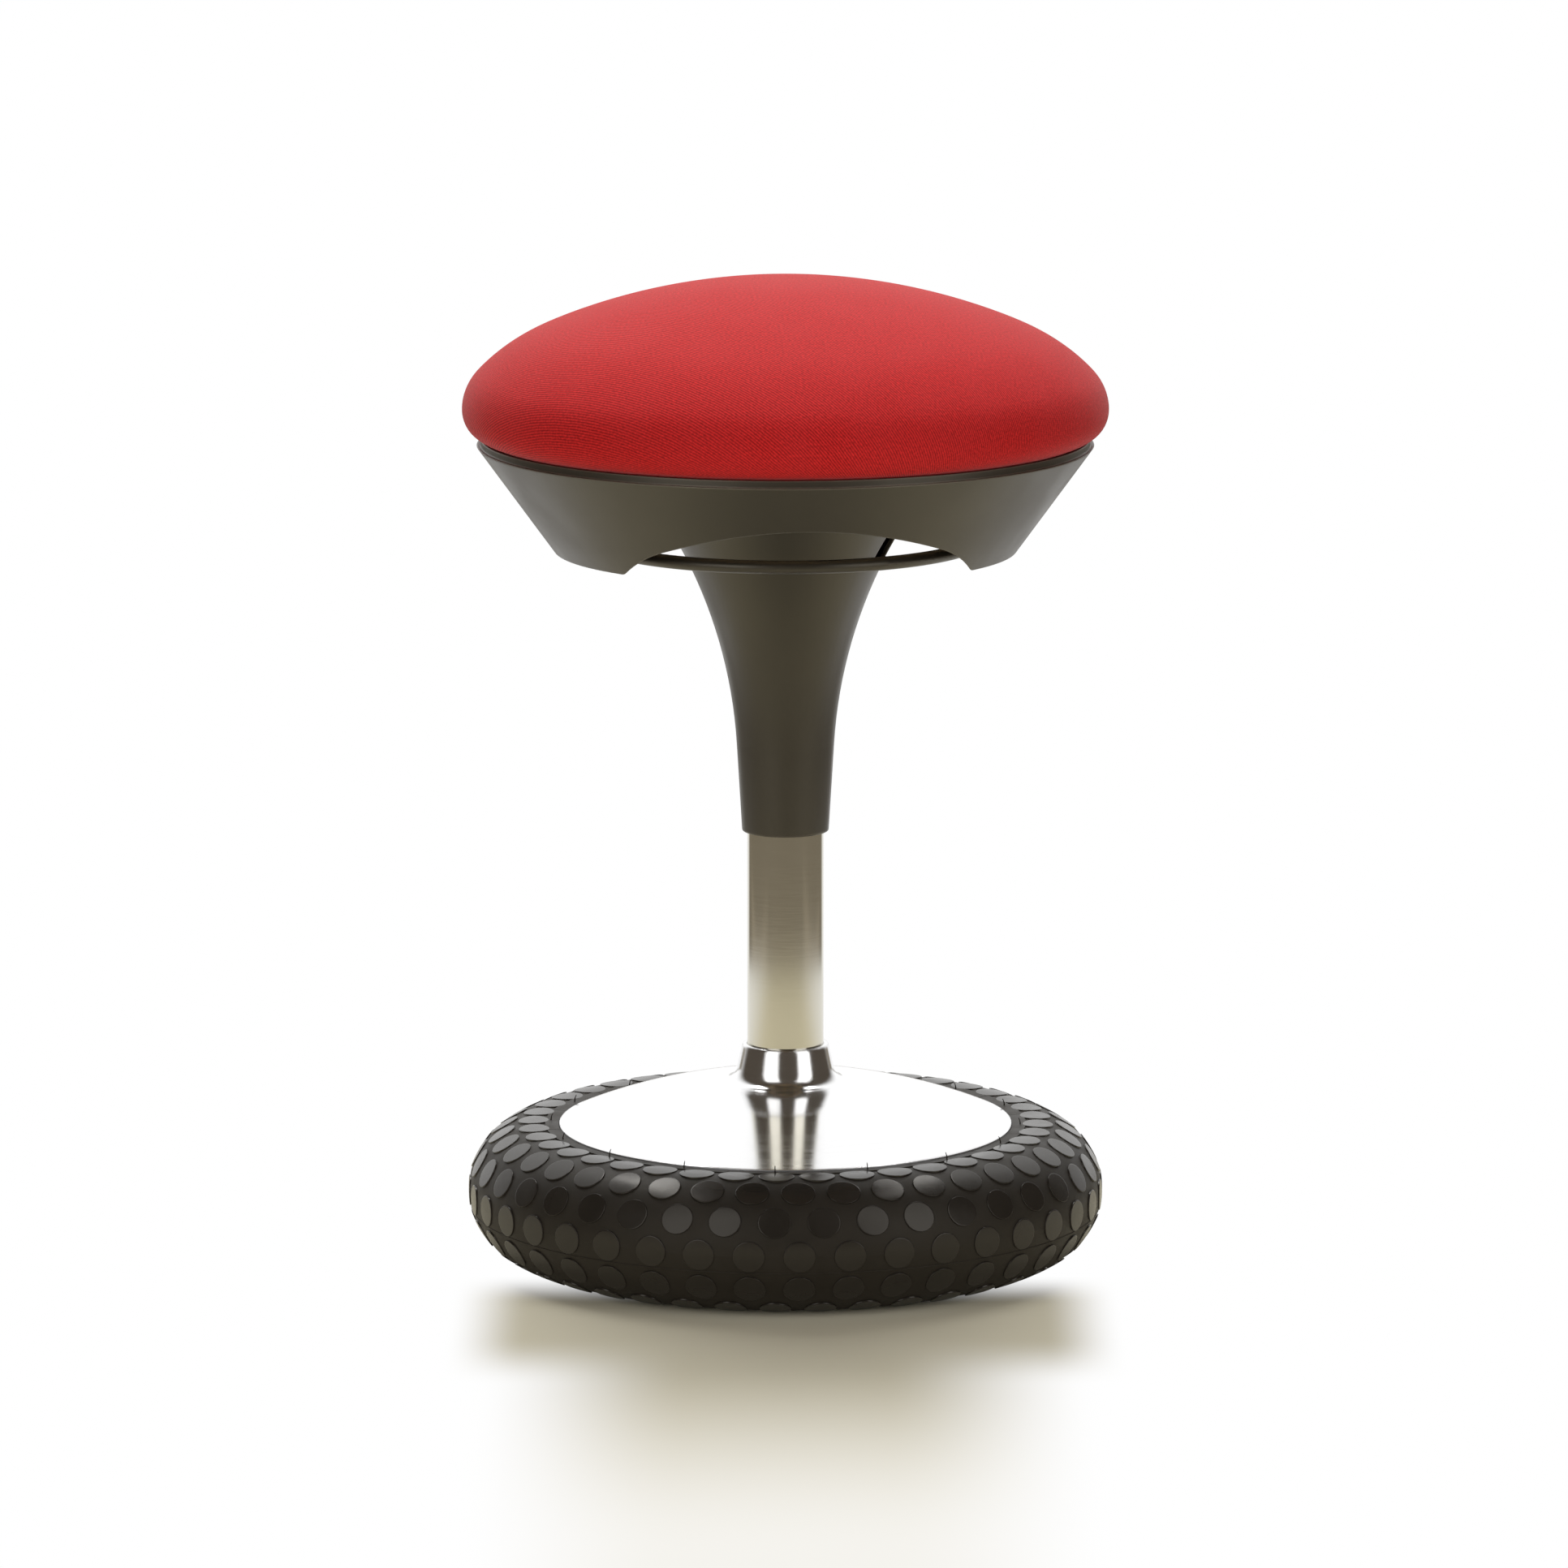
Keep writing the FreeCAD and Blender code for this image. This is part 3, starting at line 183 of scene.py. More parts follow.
studio_floor = (0.235, 0.205, 0.16)
paper_colour_darkened_for_shade = (0.755, 0.71, 0.555)
table_reach = (0.78, 0.90)
shadow_start = -0.17
shadow_rise = (-0.11, -0.04)
shadow_fall = (0.1, 0.5)
shadow_left = 0.3
shadow_half_width = (0.14, 0.185)
corner_aside = (0.05, 0.17)
corner_ahead = (0.04, 0.15)
mirrored_shadow_y = -0.3
mirrored_shadow_reach = (0.5, 0.95)
wall_side = (0.70, 0.88)
side_turn = (0.75, 0.95)
side_strength = (1.0, 1.45)
paper_sheet = floor_plane("paper_sheet", width=1.9, front=-0.95, back=1.6, height=0)
paper = empty_material("paper_glowing_white")
tree = paper.node_tree
spot = separated(tree, node(tree, "Mapping", {"Vector": node(tree, "TexCoord").outputs["Object"],
                                              "Rotation": (0, 0, camera_turn)}).outputs[0])
from_shadow = level_length(tree, spot["X"], maths(tree, "ADD", spot["Y"], -mirrored_shadow_y))
from_middle = level_length(tree, spot["X"], spot["Y"])
seen = node(tree, "LightPath").outputs["Is Camera Ray"]
mirrored = rest_of(tree, seen)
ahead = maths(tree, "SUBTRACT", shadow_start, spot["Y"])
aside = maths(tree, "ABSOLUTE", spot["X"])
# Where the camera sees lit paper and its shadow; outside it and in its front corners, painted white
# glow.
glowing_corner = product(tree, ramp(tree, aside, *corner_aside), ramp(tree, ahead, *corner_ahead))
shaded = product(tree, rest_of(tree, glowing_corner), ramp(tree, aside, *shadow_half_width, 1.0, 0.0),
                 ramp(tree, ahead, *shadow_fall, 1.0, shadow_left), ramp(tree, ahead, *shadow_rise))
# Shares of painted white glow over the lit paper: for the camera, and for mirrored rays away from
# the shadow.
camera_glow_share = product(tree, rest_of(tree, shaded), seen)
mirrored_glow_share = product(tree, ramp(tree, from_shadow, *mirrored_shadow_reach), mirrored)
lit = node(tree, "BsdfDiffuse", {"Color": (*paper_colour_darkened_for_shade, 1)}).outputs[0]
lit_or_white_glow = mix_shaders(tree, maths(tree, "ADD", camera_glow_share, mirrored_glow_share), lit,
                        glow(tree, white_colour, 1.0))
# Past the table's edge, mirrored rays meet a painted dark floor glow that is brighter to the sides.
behind = ramp(tree, maths(tree, "DIVIDE", spot["Y"], from_middle), *wall_side)
past_edge = product(tree, ramp(tree, from_middle, *table_reach), rest_of(tree, behind))
to_the_side = ramp(tree, maths(tree, "DIVIDE", aside, from_middle), *side_turn, *side_strength)
table = mix_shaders(tree, product(tree, past_edge, mirrored), lit_or_white_glow,
                    glow(tree, studio_floor, to_the_side))
show_from_above(tree, table)
paper_sheet.data.materials.append(paper)

floor_round = floor_plane("studio_floor", width=9, front=-4.5, back=4.5, height=-0.002)
boards = empty_material("dark_studio_floor")
tree = boards.node_tree
show_from_above(tree, mix_shaders(tree, node(tree, "LightPath").outputs["Is Camera Ray"],
                                  glow(tree, studio_floor, 1.0), glow(tree, white_colour, 1.0)))
floor_round.data.materials.append(boards)


# The lights: a large soft one overhead, two tall soft boxes beside the camera, which stripe the
# neck and shine on the studs, and a weak low fill in front, which the metal doesn't mirror.

def soft_box(name, place, target, width, height, power):
    lamp = bpy.data.lights.new(name, "AREA")
    lamp.shape = "RECTANGLE"
    lamp.size = width
    lamp.size_y = height
    lamp.energy = power
    box = bpy.data.objects.new(name, lamp)
    bpy.context.scene.collection.objects.link(box)
    box.location = place
    box.rotation_euler = (Vector(target) - Vector(place)).to_track_quat("-Z", "Y").to_euler()
    return box


side_distance = 2.6
side_height = 1.8
side_target = (0, 0, 1.5)
soft_box("overhead_light", (0.0, 0.9, 2.5), (0, 0, 0.3), width=1.9, height=1.2, power=47)
for side, turn, width in (("left", -36, 1.75), ("right", 49, 1.65)):
    direction = math.radians(turn) - camera_turn
    place = (side_distance * math.sin(direction), -side_distance * math.cos(direction), side_height)
    soft_box(side + "_soft_box", place, side_target, width=width, height=3.3, power=25)
front_fill = soft_box("front_fill", (-0.25, -3.2, 0.3), (0, 0, 0.35), width=2.4, height=0.9,
                      power=19)
front_fill.visible_glossy = False


# The tyre: one heavy moulding of near-black rubber with a round section. Rows of round studs stand
# on it, half a step apart from row to row, and a fine flash line shows where the mould's two halves
# met. Thin rubber hairs from the mould's air vents still stand on the smooth lip.

def shader_group(name, inputs, outputs):
    """An empty node group with its sockets, for an effect that several materials use."""
    group = bpy.data.node_groups.new(name, "ShaderNodeTree")
    for socket, value in inputs.items():
        made = group.interface.new_socket(socket, in_out="INPUT", socket_type="NodeSocketFloat")
        made.default_value = value
    for socket, kind in outputs.items():
        group.interface.new_socket(socket, in_out="OUTPUT", socket_type="NodeSocket" + kind)
    given = group.nodes.new("NodeGroupInput").outputs
    return group, given, group.nodes.new("NodeGroupOutput").inputs


noise_range = (0.3, 0.7)
patch_range = (0.35, 0.65)
grain_group, given, results = shader_group("moulded_grain", {"Size": 0.0004, "Blotch Size": 0.02},
                                           {"Height": "Float", "Blotch": "Float"})
place = node(grain_group, "TexCoord").outputs["Object"]
for size, result, detail in (("Size", "Height", 2.0), ("Blotch Size", "Blotch", 3.0)):
    scale = maths(grain_group, "DIVIDE", 1.0, given[size])
    noise = node(grain_group, "TexNoise", {"Vector": place, "Scale": scale, "Detail": detail})
    grain_group.links.new(noise.outputs[0], results[result])

edge_group, given, results = shader_group("rounded_edge", {"Radius": 0.0004, "Contrast": 6.0},
                                          {"Edge": "Float", "Normal": "Vector"})
rounded = node(edge_group, "Bevel", {"Radius": given["Radius"]}, samples=4).outputs[0]
likeness = node(edge_group, "VectorMath", {0: rounded,
                                           1: node(edge_group, "NewGeometry").outputs["Normal"]},
                operation="DOT_PRODUCT").outputs["Value"]
edge = product(edge_group, rest_of(edge_group, likeness), given["Contrast"])
edge_group.links.new(node(edge_group, "Clamp", {"Value": edge}).outputs[0], results["Edge"])
edge_group.links.new(rounded, results["Normal"])


def grouped(tree, group, **values):
    """Adds a node group with its numbers, and gives its outputs."""
    made = tree.nodes.new("ShaderNodeGroup")
    made.node_tree = group
    for socket, value in values.items():
        made.inputs[socket.replace("_", " ")].default_value = value
    return made.outputs


def new_finish(name):
    """A plain material with its node tree and the sockets of its shader."""
    finish = bpy.data.materials.new(name)
    finish.use_nodes = True
    return finish, finish.node_tree, finish.node_tree.nodes["Principled BSDF"].inputs


def bumped(tree, height, depth, under=None):
    """A bump of the given depth in metres, on the flat surface or on another normal."""
    feeds = {"Height": height, "Distance": depth, "Strength": 1.0}
    return node(tree, "Bump", {**feeds, "Normal": under} if under else feeds).outputs[0]


def moulded(name, colour, dark_share, rough, grain, depth, blotch, edge_radius, painted_edge_highlight=1.3,
            shine=0.5, shine_tint=(1, 1, 1)):
    """A moulded or coated surface: grain in its height, blotches in its colour, rounded edges
    painted lighter as a highlight.
    """
    finish, tree, shader = new_finish(name)
    shader["Specular IOR Level"].default_value = shine
    shader["Specular Tint"].default_value = (*shine_tint, 1)
    skin = grouped(tree, grain_group, Size=grain, Blotch_Size=blotch)
    rim = grouped(tree, edge_group, Radius=edge_radius)
    darker = tuple(part * dark_share for part in colour)
    # Painted highlight: the colour is lighter along the rounded edges.
    highlight_colour = tuple(min(part * painted_edge_highlight, 1) for part in colour)
    patches = blend_colours(tree, ramp(tree, skin["Blotch"], *patch_range), darker, colour)
    shade = blend_colours(tree, rim["Edge"], patches, highlight_colour)
    tree.links.new(shade, shader["Base Color"])
    tree.links.new(ramp(tree, skin["Blotch"], *noise_range, *rough), shader["Roughness"])
    tree.links.new(bumped(tree, skin["Height"], depth, rim["Normal"]), shader["Normal"])
    return finish


def finish_node(finish, *names):
    for name in names:
        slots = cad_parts[name].data.materials
        slots.clear()
        slots.append(finish)


tyre_rubber = moulded("tyre_rubber", (0.020, 0.0165, 0.013), dark_share=0.8, rough=(0.48, 0.60),
                      grain=0.00035, depth=0.00003, blotch=0.018, edge_radius=0.0003,
                      shine=0.32, shine_tint=(1.0, 0.93, 0.8))
stud_rubber = moulded("stud_rubber", (0.020, 0.017, 0.014), dark_share=0.9, rough=(0.20, 0.26),
                      grain=0.0008, depth=0.000004, blotch=0.018, edge_radius=0.0, painted_edge_highlight=1.0,
                      shine=0.42, shine_tint=(1.0, 0.95, 0.86))
finish_node(tyre_rubber, "rubber_tyre")

tyre_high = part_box("rubber_tyre")[1]
tyre_section = 0.0371
tyre_centre = tyre_high.x - tyre_section
tyre_mid_z = 0.0370
studs_round = 40
stud_step = 2 * math.pi / studs_round
stud_reach = 0.0087
stud_height = 0.00048
stud_level = 0.45
stud_root = 0.0008
stud_foot_z = stud_height * 0.1
stud_top_z = stud_height * 0.9
well_above = 0.01
stud_sides = 20
stud_bevel = 0.00022
stud_rim = 0.0004
stud_face_ring = 0.004
first_stud = math.radians(-92.0)
stud_rows = (("inner", 88.0, 0.0099, True), ("upper", 59.0, 0.0095, False),
             ("shoulder", 29.5, 0.0091, True), ("side", 0.0, 0.0089, False),
             ("under", -31.0, 0.0089, False), ("floor", -63.0, 0.0089, True))


def on_tyre(along, turn, height):
    """A point on or above the tyre's skin, by an angle round the ring and one round its section."""
    reach = tyre_centre + (tyre_section + height) * math.cos(turn)
    return Vector((reach * math.cos(along), reach * math.sin(along),
                   tyre_mid_z + (tyre_section + height) * math.sin(turn)))


def round_copies(piece, count):
    """Repeats a piece evenly round the column's axis with an applied Array modifier."""
    pivot = bpy.data.objects.new("turning_point", None)
    bpy.context.scene.collection.objects.link(pivot)
    pivot.rotation_euler = (0, 0, 2 * math.pi / count)
    array = piece.modifiers.new("round", "ARRAY")
    array.count = count
    array.use_relative_offset = False
    array.use_object_offset = True
    array.offset_object = pivot
    bpy.context.view_layer.objects.active = piece
    bpy.ops.object.modifier_apply(modifier=array.name)
    bpy.data.objects.remove(pivot)


def pick(piece, kind, wanted):
    """Opens a piece for editing with the faces or edges selected that pass a test."""
    bpy.ops.object.mode_set(mode="EDIT")
    bpy.ops.mesh.select_mode(type=kind)
    bpy.ops.mesh.select_all(action="DESELECT")
    bpy.ops.object.mode_set(mode="OBJECT")
    for part in piece.data.polygons if kind == "FACE" else piece.data.edges:
        part.select = wanted(part)
    bpy.ops.object.mode_set(mode="EDIT")


def new_piece(name, finish, smooth_angle):
    """Names the active object, gives it its finish and smooth shading, and lets go of it."""
    piece = bpy.context.object
    piece.name = piece.data.name = name
    piece.data.materials.clear()
    piece.data.materials.append(finish)
    bpy.ops.object.shade_smooth_by_angle(angle=math.radians(smooth_angle))
    bpy.ops.object.select_all(action="DESELECT")
    return piece


def is_top_edge(edge):
    return all(stud.data.vertices[end].co.z > stud_top_z for end in edge.vertices)


for row, turn_degrees, half_width, half_step in stud_rows:
    bpy.ops.mesh.primitive_cylinder_add(vertices=stud_sides, radius=stud_reach, depth=stud_height,
                                        location=(0, 0, stud_height / 2))
    bpy.ops.object.transform_apply(location=True, rotation=False, scale=False)
    stud = bpy.context.object
    pick(stud, "FACE", lambda face: face.center.z < stud_foot_z)
    bpy.ops.mesh.delete(type="ONLY_FACE")
    pick(stud, "EDGE", is_top_edge)
    bpy.ops.mesh.bevel(offset=stud_bevel, segments=2, affect="EDGES")
    pick(stud, "FACE", lambda face: len(face.vertices) == stud_sides)
    bpy.ops.mesh.inset(thickness=stud_rim)
    bpy.ops.mesh.inset(thickness=stud_face_ring)
    bpy.ops.mesh.poke()
    bpy.ops.mesh.select_all(action="SELECT")
    bpy.ops.mesh.normals_make_consistent(inside=False)
    bpy.ops.object.mode_set(mode="OBJECT")
    turn = math.radians(turn_degrees)
    along = first_stud + (stud_step / 2 if half_step else 0)
    middle = on_tyre(along, turn, 0)
    sideways = Vector((-math.sin(along), math.cos(along), 0))
    outwards = (on_tyre(along, turn, well_above) - middle).normalized()
    upwards = outwards.cross(sideways)
    for corner in stud.data.vertices:
        right, up, height = corner.co
        right *= half_width / stud_reach
        is_root = height < stud_foot_z
        skin = on_tyre(along + right / middle.xy.length, turn + up / tyre_section,
                       -stud_root if is_root else height)
        level_face = middle + right * sideways + up * upwards + height * outwards
        corner.co = skin if is_root else skin.lerp(level_face, stud_level)
    round_copies(stud, studs_round)
    studs = new_piece("tyre_studs_" + row, stud_rubber, smooth_angle=50)
    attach(studs, "base")

mould_turn = math.radians(-14.5)
bpy.ops.mesh.primitive_torus_add(major_segments=180, minor_segments=6, minor_radius=0.00035,
                                 major_radius=tyre_centre + tyre_section * math.cos(mould_turn),
                                 location=(0, 0, tyre_mid_z + tyre_section * math.sin(mould_turn)))
bpy.ops.object.transform_apply(location=True, rotation=False, scale=False)
flash = new_piece("tyre_mould_line", tyre_rubber, smooth_angle=60)
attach(flash, "base")

hair_count = 16
hair_reach = 0.132
hair_length = 0.0032
hair_root = 0.001
hair_lean = -0.25
hair_foot = tyre_high.z - 0.0002
first_hair = math.radians(-97.0)
bpy.ops.mesh.primitive_cone_add(vertices=6, radius1=0.00045, radius2=0.00022,
                                depth=hair_length + hair_root)
bpy.ops.object.mode_set(mode="EDIT")
bpy.ops.mesh.select_all(action="SELECT")
bpy.ops.mesh.subdivide(number_cuts=2)
bpy.ops.object.mode_set(mode="OBJECT")
for corner in bpy.context.object.data.vertices:
    rise = corner.co.z + hair_length / 2
    reach = hair_reach + corner.co.x + hair_lean * rise * (rise / hair_length)
    spot = Vector((reach, corner.co.y, hair_foot + rise))
    corner.co = Matrix.Rotation(first_hair, 3, "Z") @ spot
round_copies(bpy.context.object, hair_count)
hairs = new_piece("tyre_vent_hairs", tyre_rubber, smooth_angle=60)
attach(hairs, "base")


# The base dome: an aluminium casting, turned and polished to a mirror on its face and neck and left
# rough underneath, with fine turning marks round it. The photo mirrors a flatter dome than the
# solid, so the shading leans a little towards level outside the neck's fillet.

turning_group, given, results = shader_group("turning_marks", {"Pitch": 0.0004}, {"Marks": "Float"})
place = separated(turning_group, node(turning_group, "TexCoord").outputs["Object"])
reach = level_length(turning_group, place["X"], place["Y"])
unrolled = node(turning_group, "CombineXYZ",
                {"X": maths(turning_group, "DIVIDE", reach, given["Pitch"]),
                 "Y": maths(turning_group, "DIVIDE", place["Z"], given["Pitch"]),
                 "Z": maths(turning_group, "ARCTAN2", place["Y"], place["X"])}).outputs[0]
marks = node(turning_group, "TexNoise", {"Vector": unrolled, "Scale": 1.0, "Detail": 1.0})
turning_group.links.new(marks.outputs[0], results["Marks"])
duller_share = 0.93


def turned_metal(name, colour, rough, pitch, depth, edge_radius):
    """A metal with fine marks round the column's axis and rounded edges."""
    finish, tree, shader = new_finish(name)
    shader["Metallic"].default_value = 1.0
    marks = grouped(tree, turning_group, Pitch=pitch)["Marks"]
    rim = grouped(tree, edge_group, Radius=edge_radius)
    duller = tuple(part * duller_share for part in colour)
    tree.links.new(blend_colours(tree, marks, duller, colour), shader["Base Color"])
    tree.links.new(ramp(tree, marks, *noise_range, *rough), shader["Roughness"])
    tree.links.new(bumped(tree, marks, depth, rim["Normal"]), shader["Normal"])
    return finish


cast_colour = (0.42, 0.42, 0.43)
cast_rough = 0.5
polish_upwards = (0.02, 0.06)
dome_upwards = (0.86, 0.91)
past_neck_reach = (0.037, 0.042)
dome_flattening = 0.35
mirror_polish = turned_metal("mirror_polish", (0.90, 0.90, 0.90), rough=(0.11, 0.15), pitch=0.0008,
                             depth=0.0000004, edge_radius=0.0025)
tree = mirror_polish.node_tree
shader = tree.nodes["Principled BSDF"].inputs
upwards = separated(tree, node(tree, "NewGeometry").outputs["True Normal"])["Z"]
polished = ramp(tree, upwards, *polish_upwards)
polished_rough = shader["Roughness"].links[0].from_socket
rough_mix = node(tree, "Mix", {"Factor": polished, "A": cast_rough, "B": polished_rough},
                 data_type="FLOAT")
tree.links.new(rough_mix.outputs[0], shader["Roughness"])
polished_shade = shader["Base Color"].links[0].from_socket
tree.links.new(blend_colours(tree, polished, cast_colour, polished_shade), shader["Base Color"])
spot = separated(tree, node(tree, "TexCoord").outputs["Object"])
past_neck = ramp(tree, level_length(tree, spot["X"], spot["Y"]), *past_neck_reach)
lean_share = product(tree, ramp(tree, upwards, *dome_upwards),
                     product(tree, past_neck, dome_flattening))
leaning = node(tree, "Mix", {"Factor": lean_share, 4: shader["Normal"].links[0].from_socket,
                             5: (0, 0, 1)}, data_type="VECTOR").outputs[1]
flatter = node(tree, "VectorMath", {0: leaning}, operation="NORMALIZE").outputs[0]
tree.links.new(flatter, shader["Normal"])
finish_node(mirror_polish, "base_dome")


# Under the dome: a cast iron weight, a powder coated steel cover plate and four zinc plated screws
# with hexagon sockets, which hold both to the dome's bosses.

cast_iron = moulded("cast_iron", (0.16, 0.155, 0.15), dark_share=0.7, rough=(0.6, 0.8),
                    grain=0.0012, depth=0.0001, blotch=0.01, edge_radius=0.0006)
black_powder_coat = moulded("black_powder_coat", (0.045, 0.045, 0.047), dark_share=0.85,
                            rough=(0.42, 0.52), grain=0.0007, depth=0.00004, blotch=0.03,
                            edge_radius=0.0005)
zinc_plate = turned_metal("zinc_plate", (0.66, 0.66, 0.63), rough=(0.28, 0.42), pitch=0.0006,
                          depth=0.000004, edge_radius=0.0003)
ground_steel = turned_metal("ground_steel", (0.72, 0.72, 0.72), rough=(0.12, 0.2), pitch=0.0003,
                            depth=0.000001, edge_radius=0.0002)
finish_node(cast_iron, "ballast_disc")
finish_node(black_powder_coat, "bottom_plate")


def socket_screws(node_name, circle, count, first_turn, head, shank, head_depth, key_width):
    """Cap screws, heads down, round the axis: bevelled heads with a hexagon socket cut in each."""
    low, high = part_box(node_name)
    seat = low.z + head_depth
    tip = high.z
    overlap = head_depth * 0.2
    head_bevel = head_depth * 0.15
    key_depth = head_depth * 1.2
    bpy.ops.mesh.primitive_cylinder_add(vertices=32, radius=head, depth=head_depth,
                                        location=(circle, 0, seat - head_depth / 2))
    cap = bpy.context.object
    bpy.ops.object.mode_set(mode="EDIT")
    bpy.ops.mesh.select_all(action="SELECT")
    bpy.ops.mesh.bevel(offset=head_bevel, segments=2, affect="EDGES", clamp_overlap=True)
    bpy.ops.object.mode_set(mode="OBJECT")
    bpy.ops.mesh.primitive_cylinder_add(vertices=6, radius=key_width / math.sqrt(3),
                                        depth=key_depth, location=(circle, 0, seat - head_depth))
    key = bpy.context.object
    cut = cap.modifiers.new("socket", "BOOLEAN")
    cut.operation = "DIFFERENCE"
    cut.object = key
    bpy.context.view_layer.objects.active = cap
    bpy.ops.object.modifier_apply(modifier=cut.name)
    bpy.data.objects.remove(key)
    bpy.ops.mesh.primitive_cylinder_add(vertices=24, radius=shank, depth=tip - seat + overlap,
                                        location=(circle, 0, (tip + seat - overlap) / 2))
    shank_piece = bpy.context.object
    bpy.ops.object.select_all(action="DESELECT")
    shank_piece.select_set(True)
    cap.select_set(True)
    bpy.context.view_layer.objects.active = cap
    bpy.ops.object.join()
    bpy.ops.object.transform_apply(location=True, rotation=True, scale=True)
    cap.data.transform(Matrix.Rotation(first_turn, 4, "Z"))
    round_copies(cap, count)
    screws = new_piece(node_name + "_with_sockets", zinc_plate, smooth_angle=35)
    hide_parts(node_name)
    return screws


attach(socket_screws("base_screws", circle=0.080, count=4, first_turn=0.0, head=0.0075,
                      shank=0.004, head_depth=0.0038, key_width=0.005), "base")


# The column: a satin chrome tube in the dome's neck, a plastic bush in its mouth, and inside it the
# thrust bearing and the gas spring, whose cylinder rises into the seat's socket.

satin_chrome = turned_metal("satin_chrome", (0.70, 0.675, 0.59), rough=(0.10, 0.12), pitch=0.0005,
                            depth=0.00000005, edge_radius=0.0006)
black_acetal = moulded("black_acetal", (0.035, 0.035, 0.036), dark_share=0.85, rough=(0.35, 0.45),
                       grain=0.0005, depth=0.00001, blotch=0.02, edge_radius=0.0003)
buffer_rubber = moulded("buffer_rubber", (0.025, 0.025, 0.025), dark_share=0.8, rough=(0.6, 0.75),
                        grain=0.0006, depth=0.00004, blotch=0.01, edge_radius=0.0003)
finish_node(satin_chrome, "column_tube")
finish_node(black_acetal, "guide_bush", "rod_guide", "bearing_cage")
finish_node(zinc_plate, "tube_end_disc", "rod_clip", "piston", "piston_nut", "valve_housing",
            "valve_pin")
finish_node(ground_steel, "lower_race", "upper_race", "bearing_balls", "piston_rod")
finish_node(buffer_rubber, "bump_stop")
finish_node(black_powder_coat, "pressure_cylinder")


# The seat's mechanism: a pressed steel spider on the gas spring's taper, the zinc plated bracket
# over the release hub, and the socket screws that hold the spider to the board and the cover to it.

finish_node(black_powder_coat, "cone_socket", "seat_plate")
finish_node(zinc_plate, "release_bracket", "t_nuts")
mechanism_turn = math.radians(-20)
leg_turn = mechanism_turn + math.radians(45)
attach(socket_screws("seat_screws", circle=0.080, count=4, first_turn=leg_turn, head=0.0055,
                      shank=0.003, head_depth=0.004, key_width=0.004), "seat")
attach(socket_screws("cover_screws", circle=0.036, count=4, first_turn=leg_turn, head=0.004,
                      shank=0.002, head_depth=0.0024, key_width=0.0025), "seat")


# Cover, ring and shell: satin mouldings in one warm dark grey plastic with a fine spark grain. The
# shell's screws go up through its bosses into the board.

# The plastic's rounded edges carry a strong painted highlight, up to eight times its colour.
dark_plastic = moulded("dark_plastic", (0.0215, 0.0185, 0.014), dark_share=0.92, rough=(0.34, 0.42),
                       grain=0.00028, depth=0.000012, blotch=0.05, edge_radius=0.0014,
                       painted_edge_highlight=8.0, shine=1.0, shine_tint=(1.0, 0.92, 0.76))
finish_node(dark_plastic, "release_ring", "column_cover", "seat_shell")
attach(socket_screws("shell_screws", circle=0.148, count=6, first_turn=0.0, head=0.0038,
                      shank=0.002, head_depth=0.0026, key_width=0.0025), "seat")


# The board: raw beech plywood with its plies showing at the edge, under the cushion.

ply_height = 0.0015
grain_stretch = (12, 260, 260)
fibre_bump = 0.00005
glue_line = (-0.3, 0.3)
edge_upwards = 0.5
beech_plywood, tree, shader = new_finish("beech_plywood")
spot = node(tree, "TexCoord").outputs["Object"]
stretched = node(tree, "Mapping", {"Vector": spot, "Scale": grain_stretch}).outputs[0]
fibres = node(tree, "TexNoise", {"Vector": stretched, "Scale": 1.0, "Detail": 4.0,
                                 "Distortion": 0.6}).outputs[0]
plies = maths(tree, "SINE", product(tree, separated(tree, spot)["Z"], math.pi / ply_height))
ply_shade = blend_colours(tree, ramp(tree, plies, *glue_line), (0.46, 0.31, 0.18),
                          (0.66, 0.50, 0.32))
wood = blend_colours(tree, fibres, (0.50, 0.35, 0.21), (0.72, 0.56, 0.38))
upwards = separated(tree, node(tree, "NewGeometry").outputs["Normal"])["Z"]
on_the_edge = maths(tree, "LESS_THAN", maths(tree, "ABSOLUTE", upwards), edge_upwards)
tree.links.new(blend_colours(tree, on_the_edge, wood, ply_shade), shader["Base Color"])
tree.links.new(ramp(tree, fibres, *noise_range, 0.6, 0.75), shader["Roughness"])
tree.links.new(bumped(tree, fibres, fibre_bump), shader["Normal"])
finish_node(beech_plywood, "seat_board")


# The cushion: a moulded foam dome in one piece of red twill, pulled tight over the edge of the
# board and stapled under it. It lies on the board.

weave_pitch = 0.0015
threads_to_a_rib = 1.5
rib_height = 0.35
bead_height = 0.15
drift_length = 0.0014
uneven_share = 1.3
turn_round = 2 * math.pi
twill_group, given, results = shader_group("woven_twill", {"Pitch": weave_pitch},
                                           {"Height": "Float", "Shade": "Float"})
flat_cloth = node(twill_group, "UVMap").outputs[0]
cloth_place = separated(twill_group, flat_cloth)
drift, uneven = [node(twill_group, "TexNoise", {"Vector": flat_cloth, "Scale": scale,
                                                "Detail": detail}).outputs[0]
                 for scale, detail in ((90.0, 2.0), (650.0, 1.0))]
lengthways = maths(twill_group, "ADD", cloth_place["X"], product(twill_group, drift, drift_length))
crossways = cloth_place["Y"]
diagonal = product(twill_group, maths(twill_group, "ADD", lengthways, crossways),
                   maths(twill_group, "DIVIDE", turn_round / math.sqrt(2), given["Pitch"]))
threads = product(twill_group, maths(twill_group, "SUBTRACT", lengthways, crossways),
                  maths(twill_group, "DIVIDE", turn_round * threads_to_a_rib, given["Pitch"]))
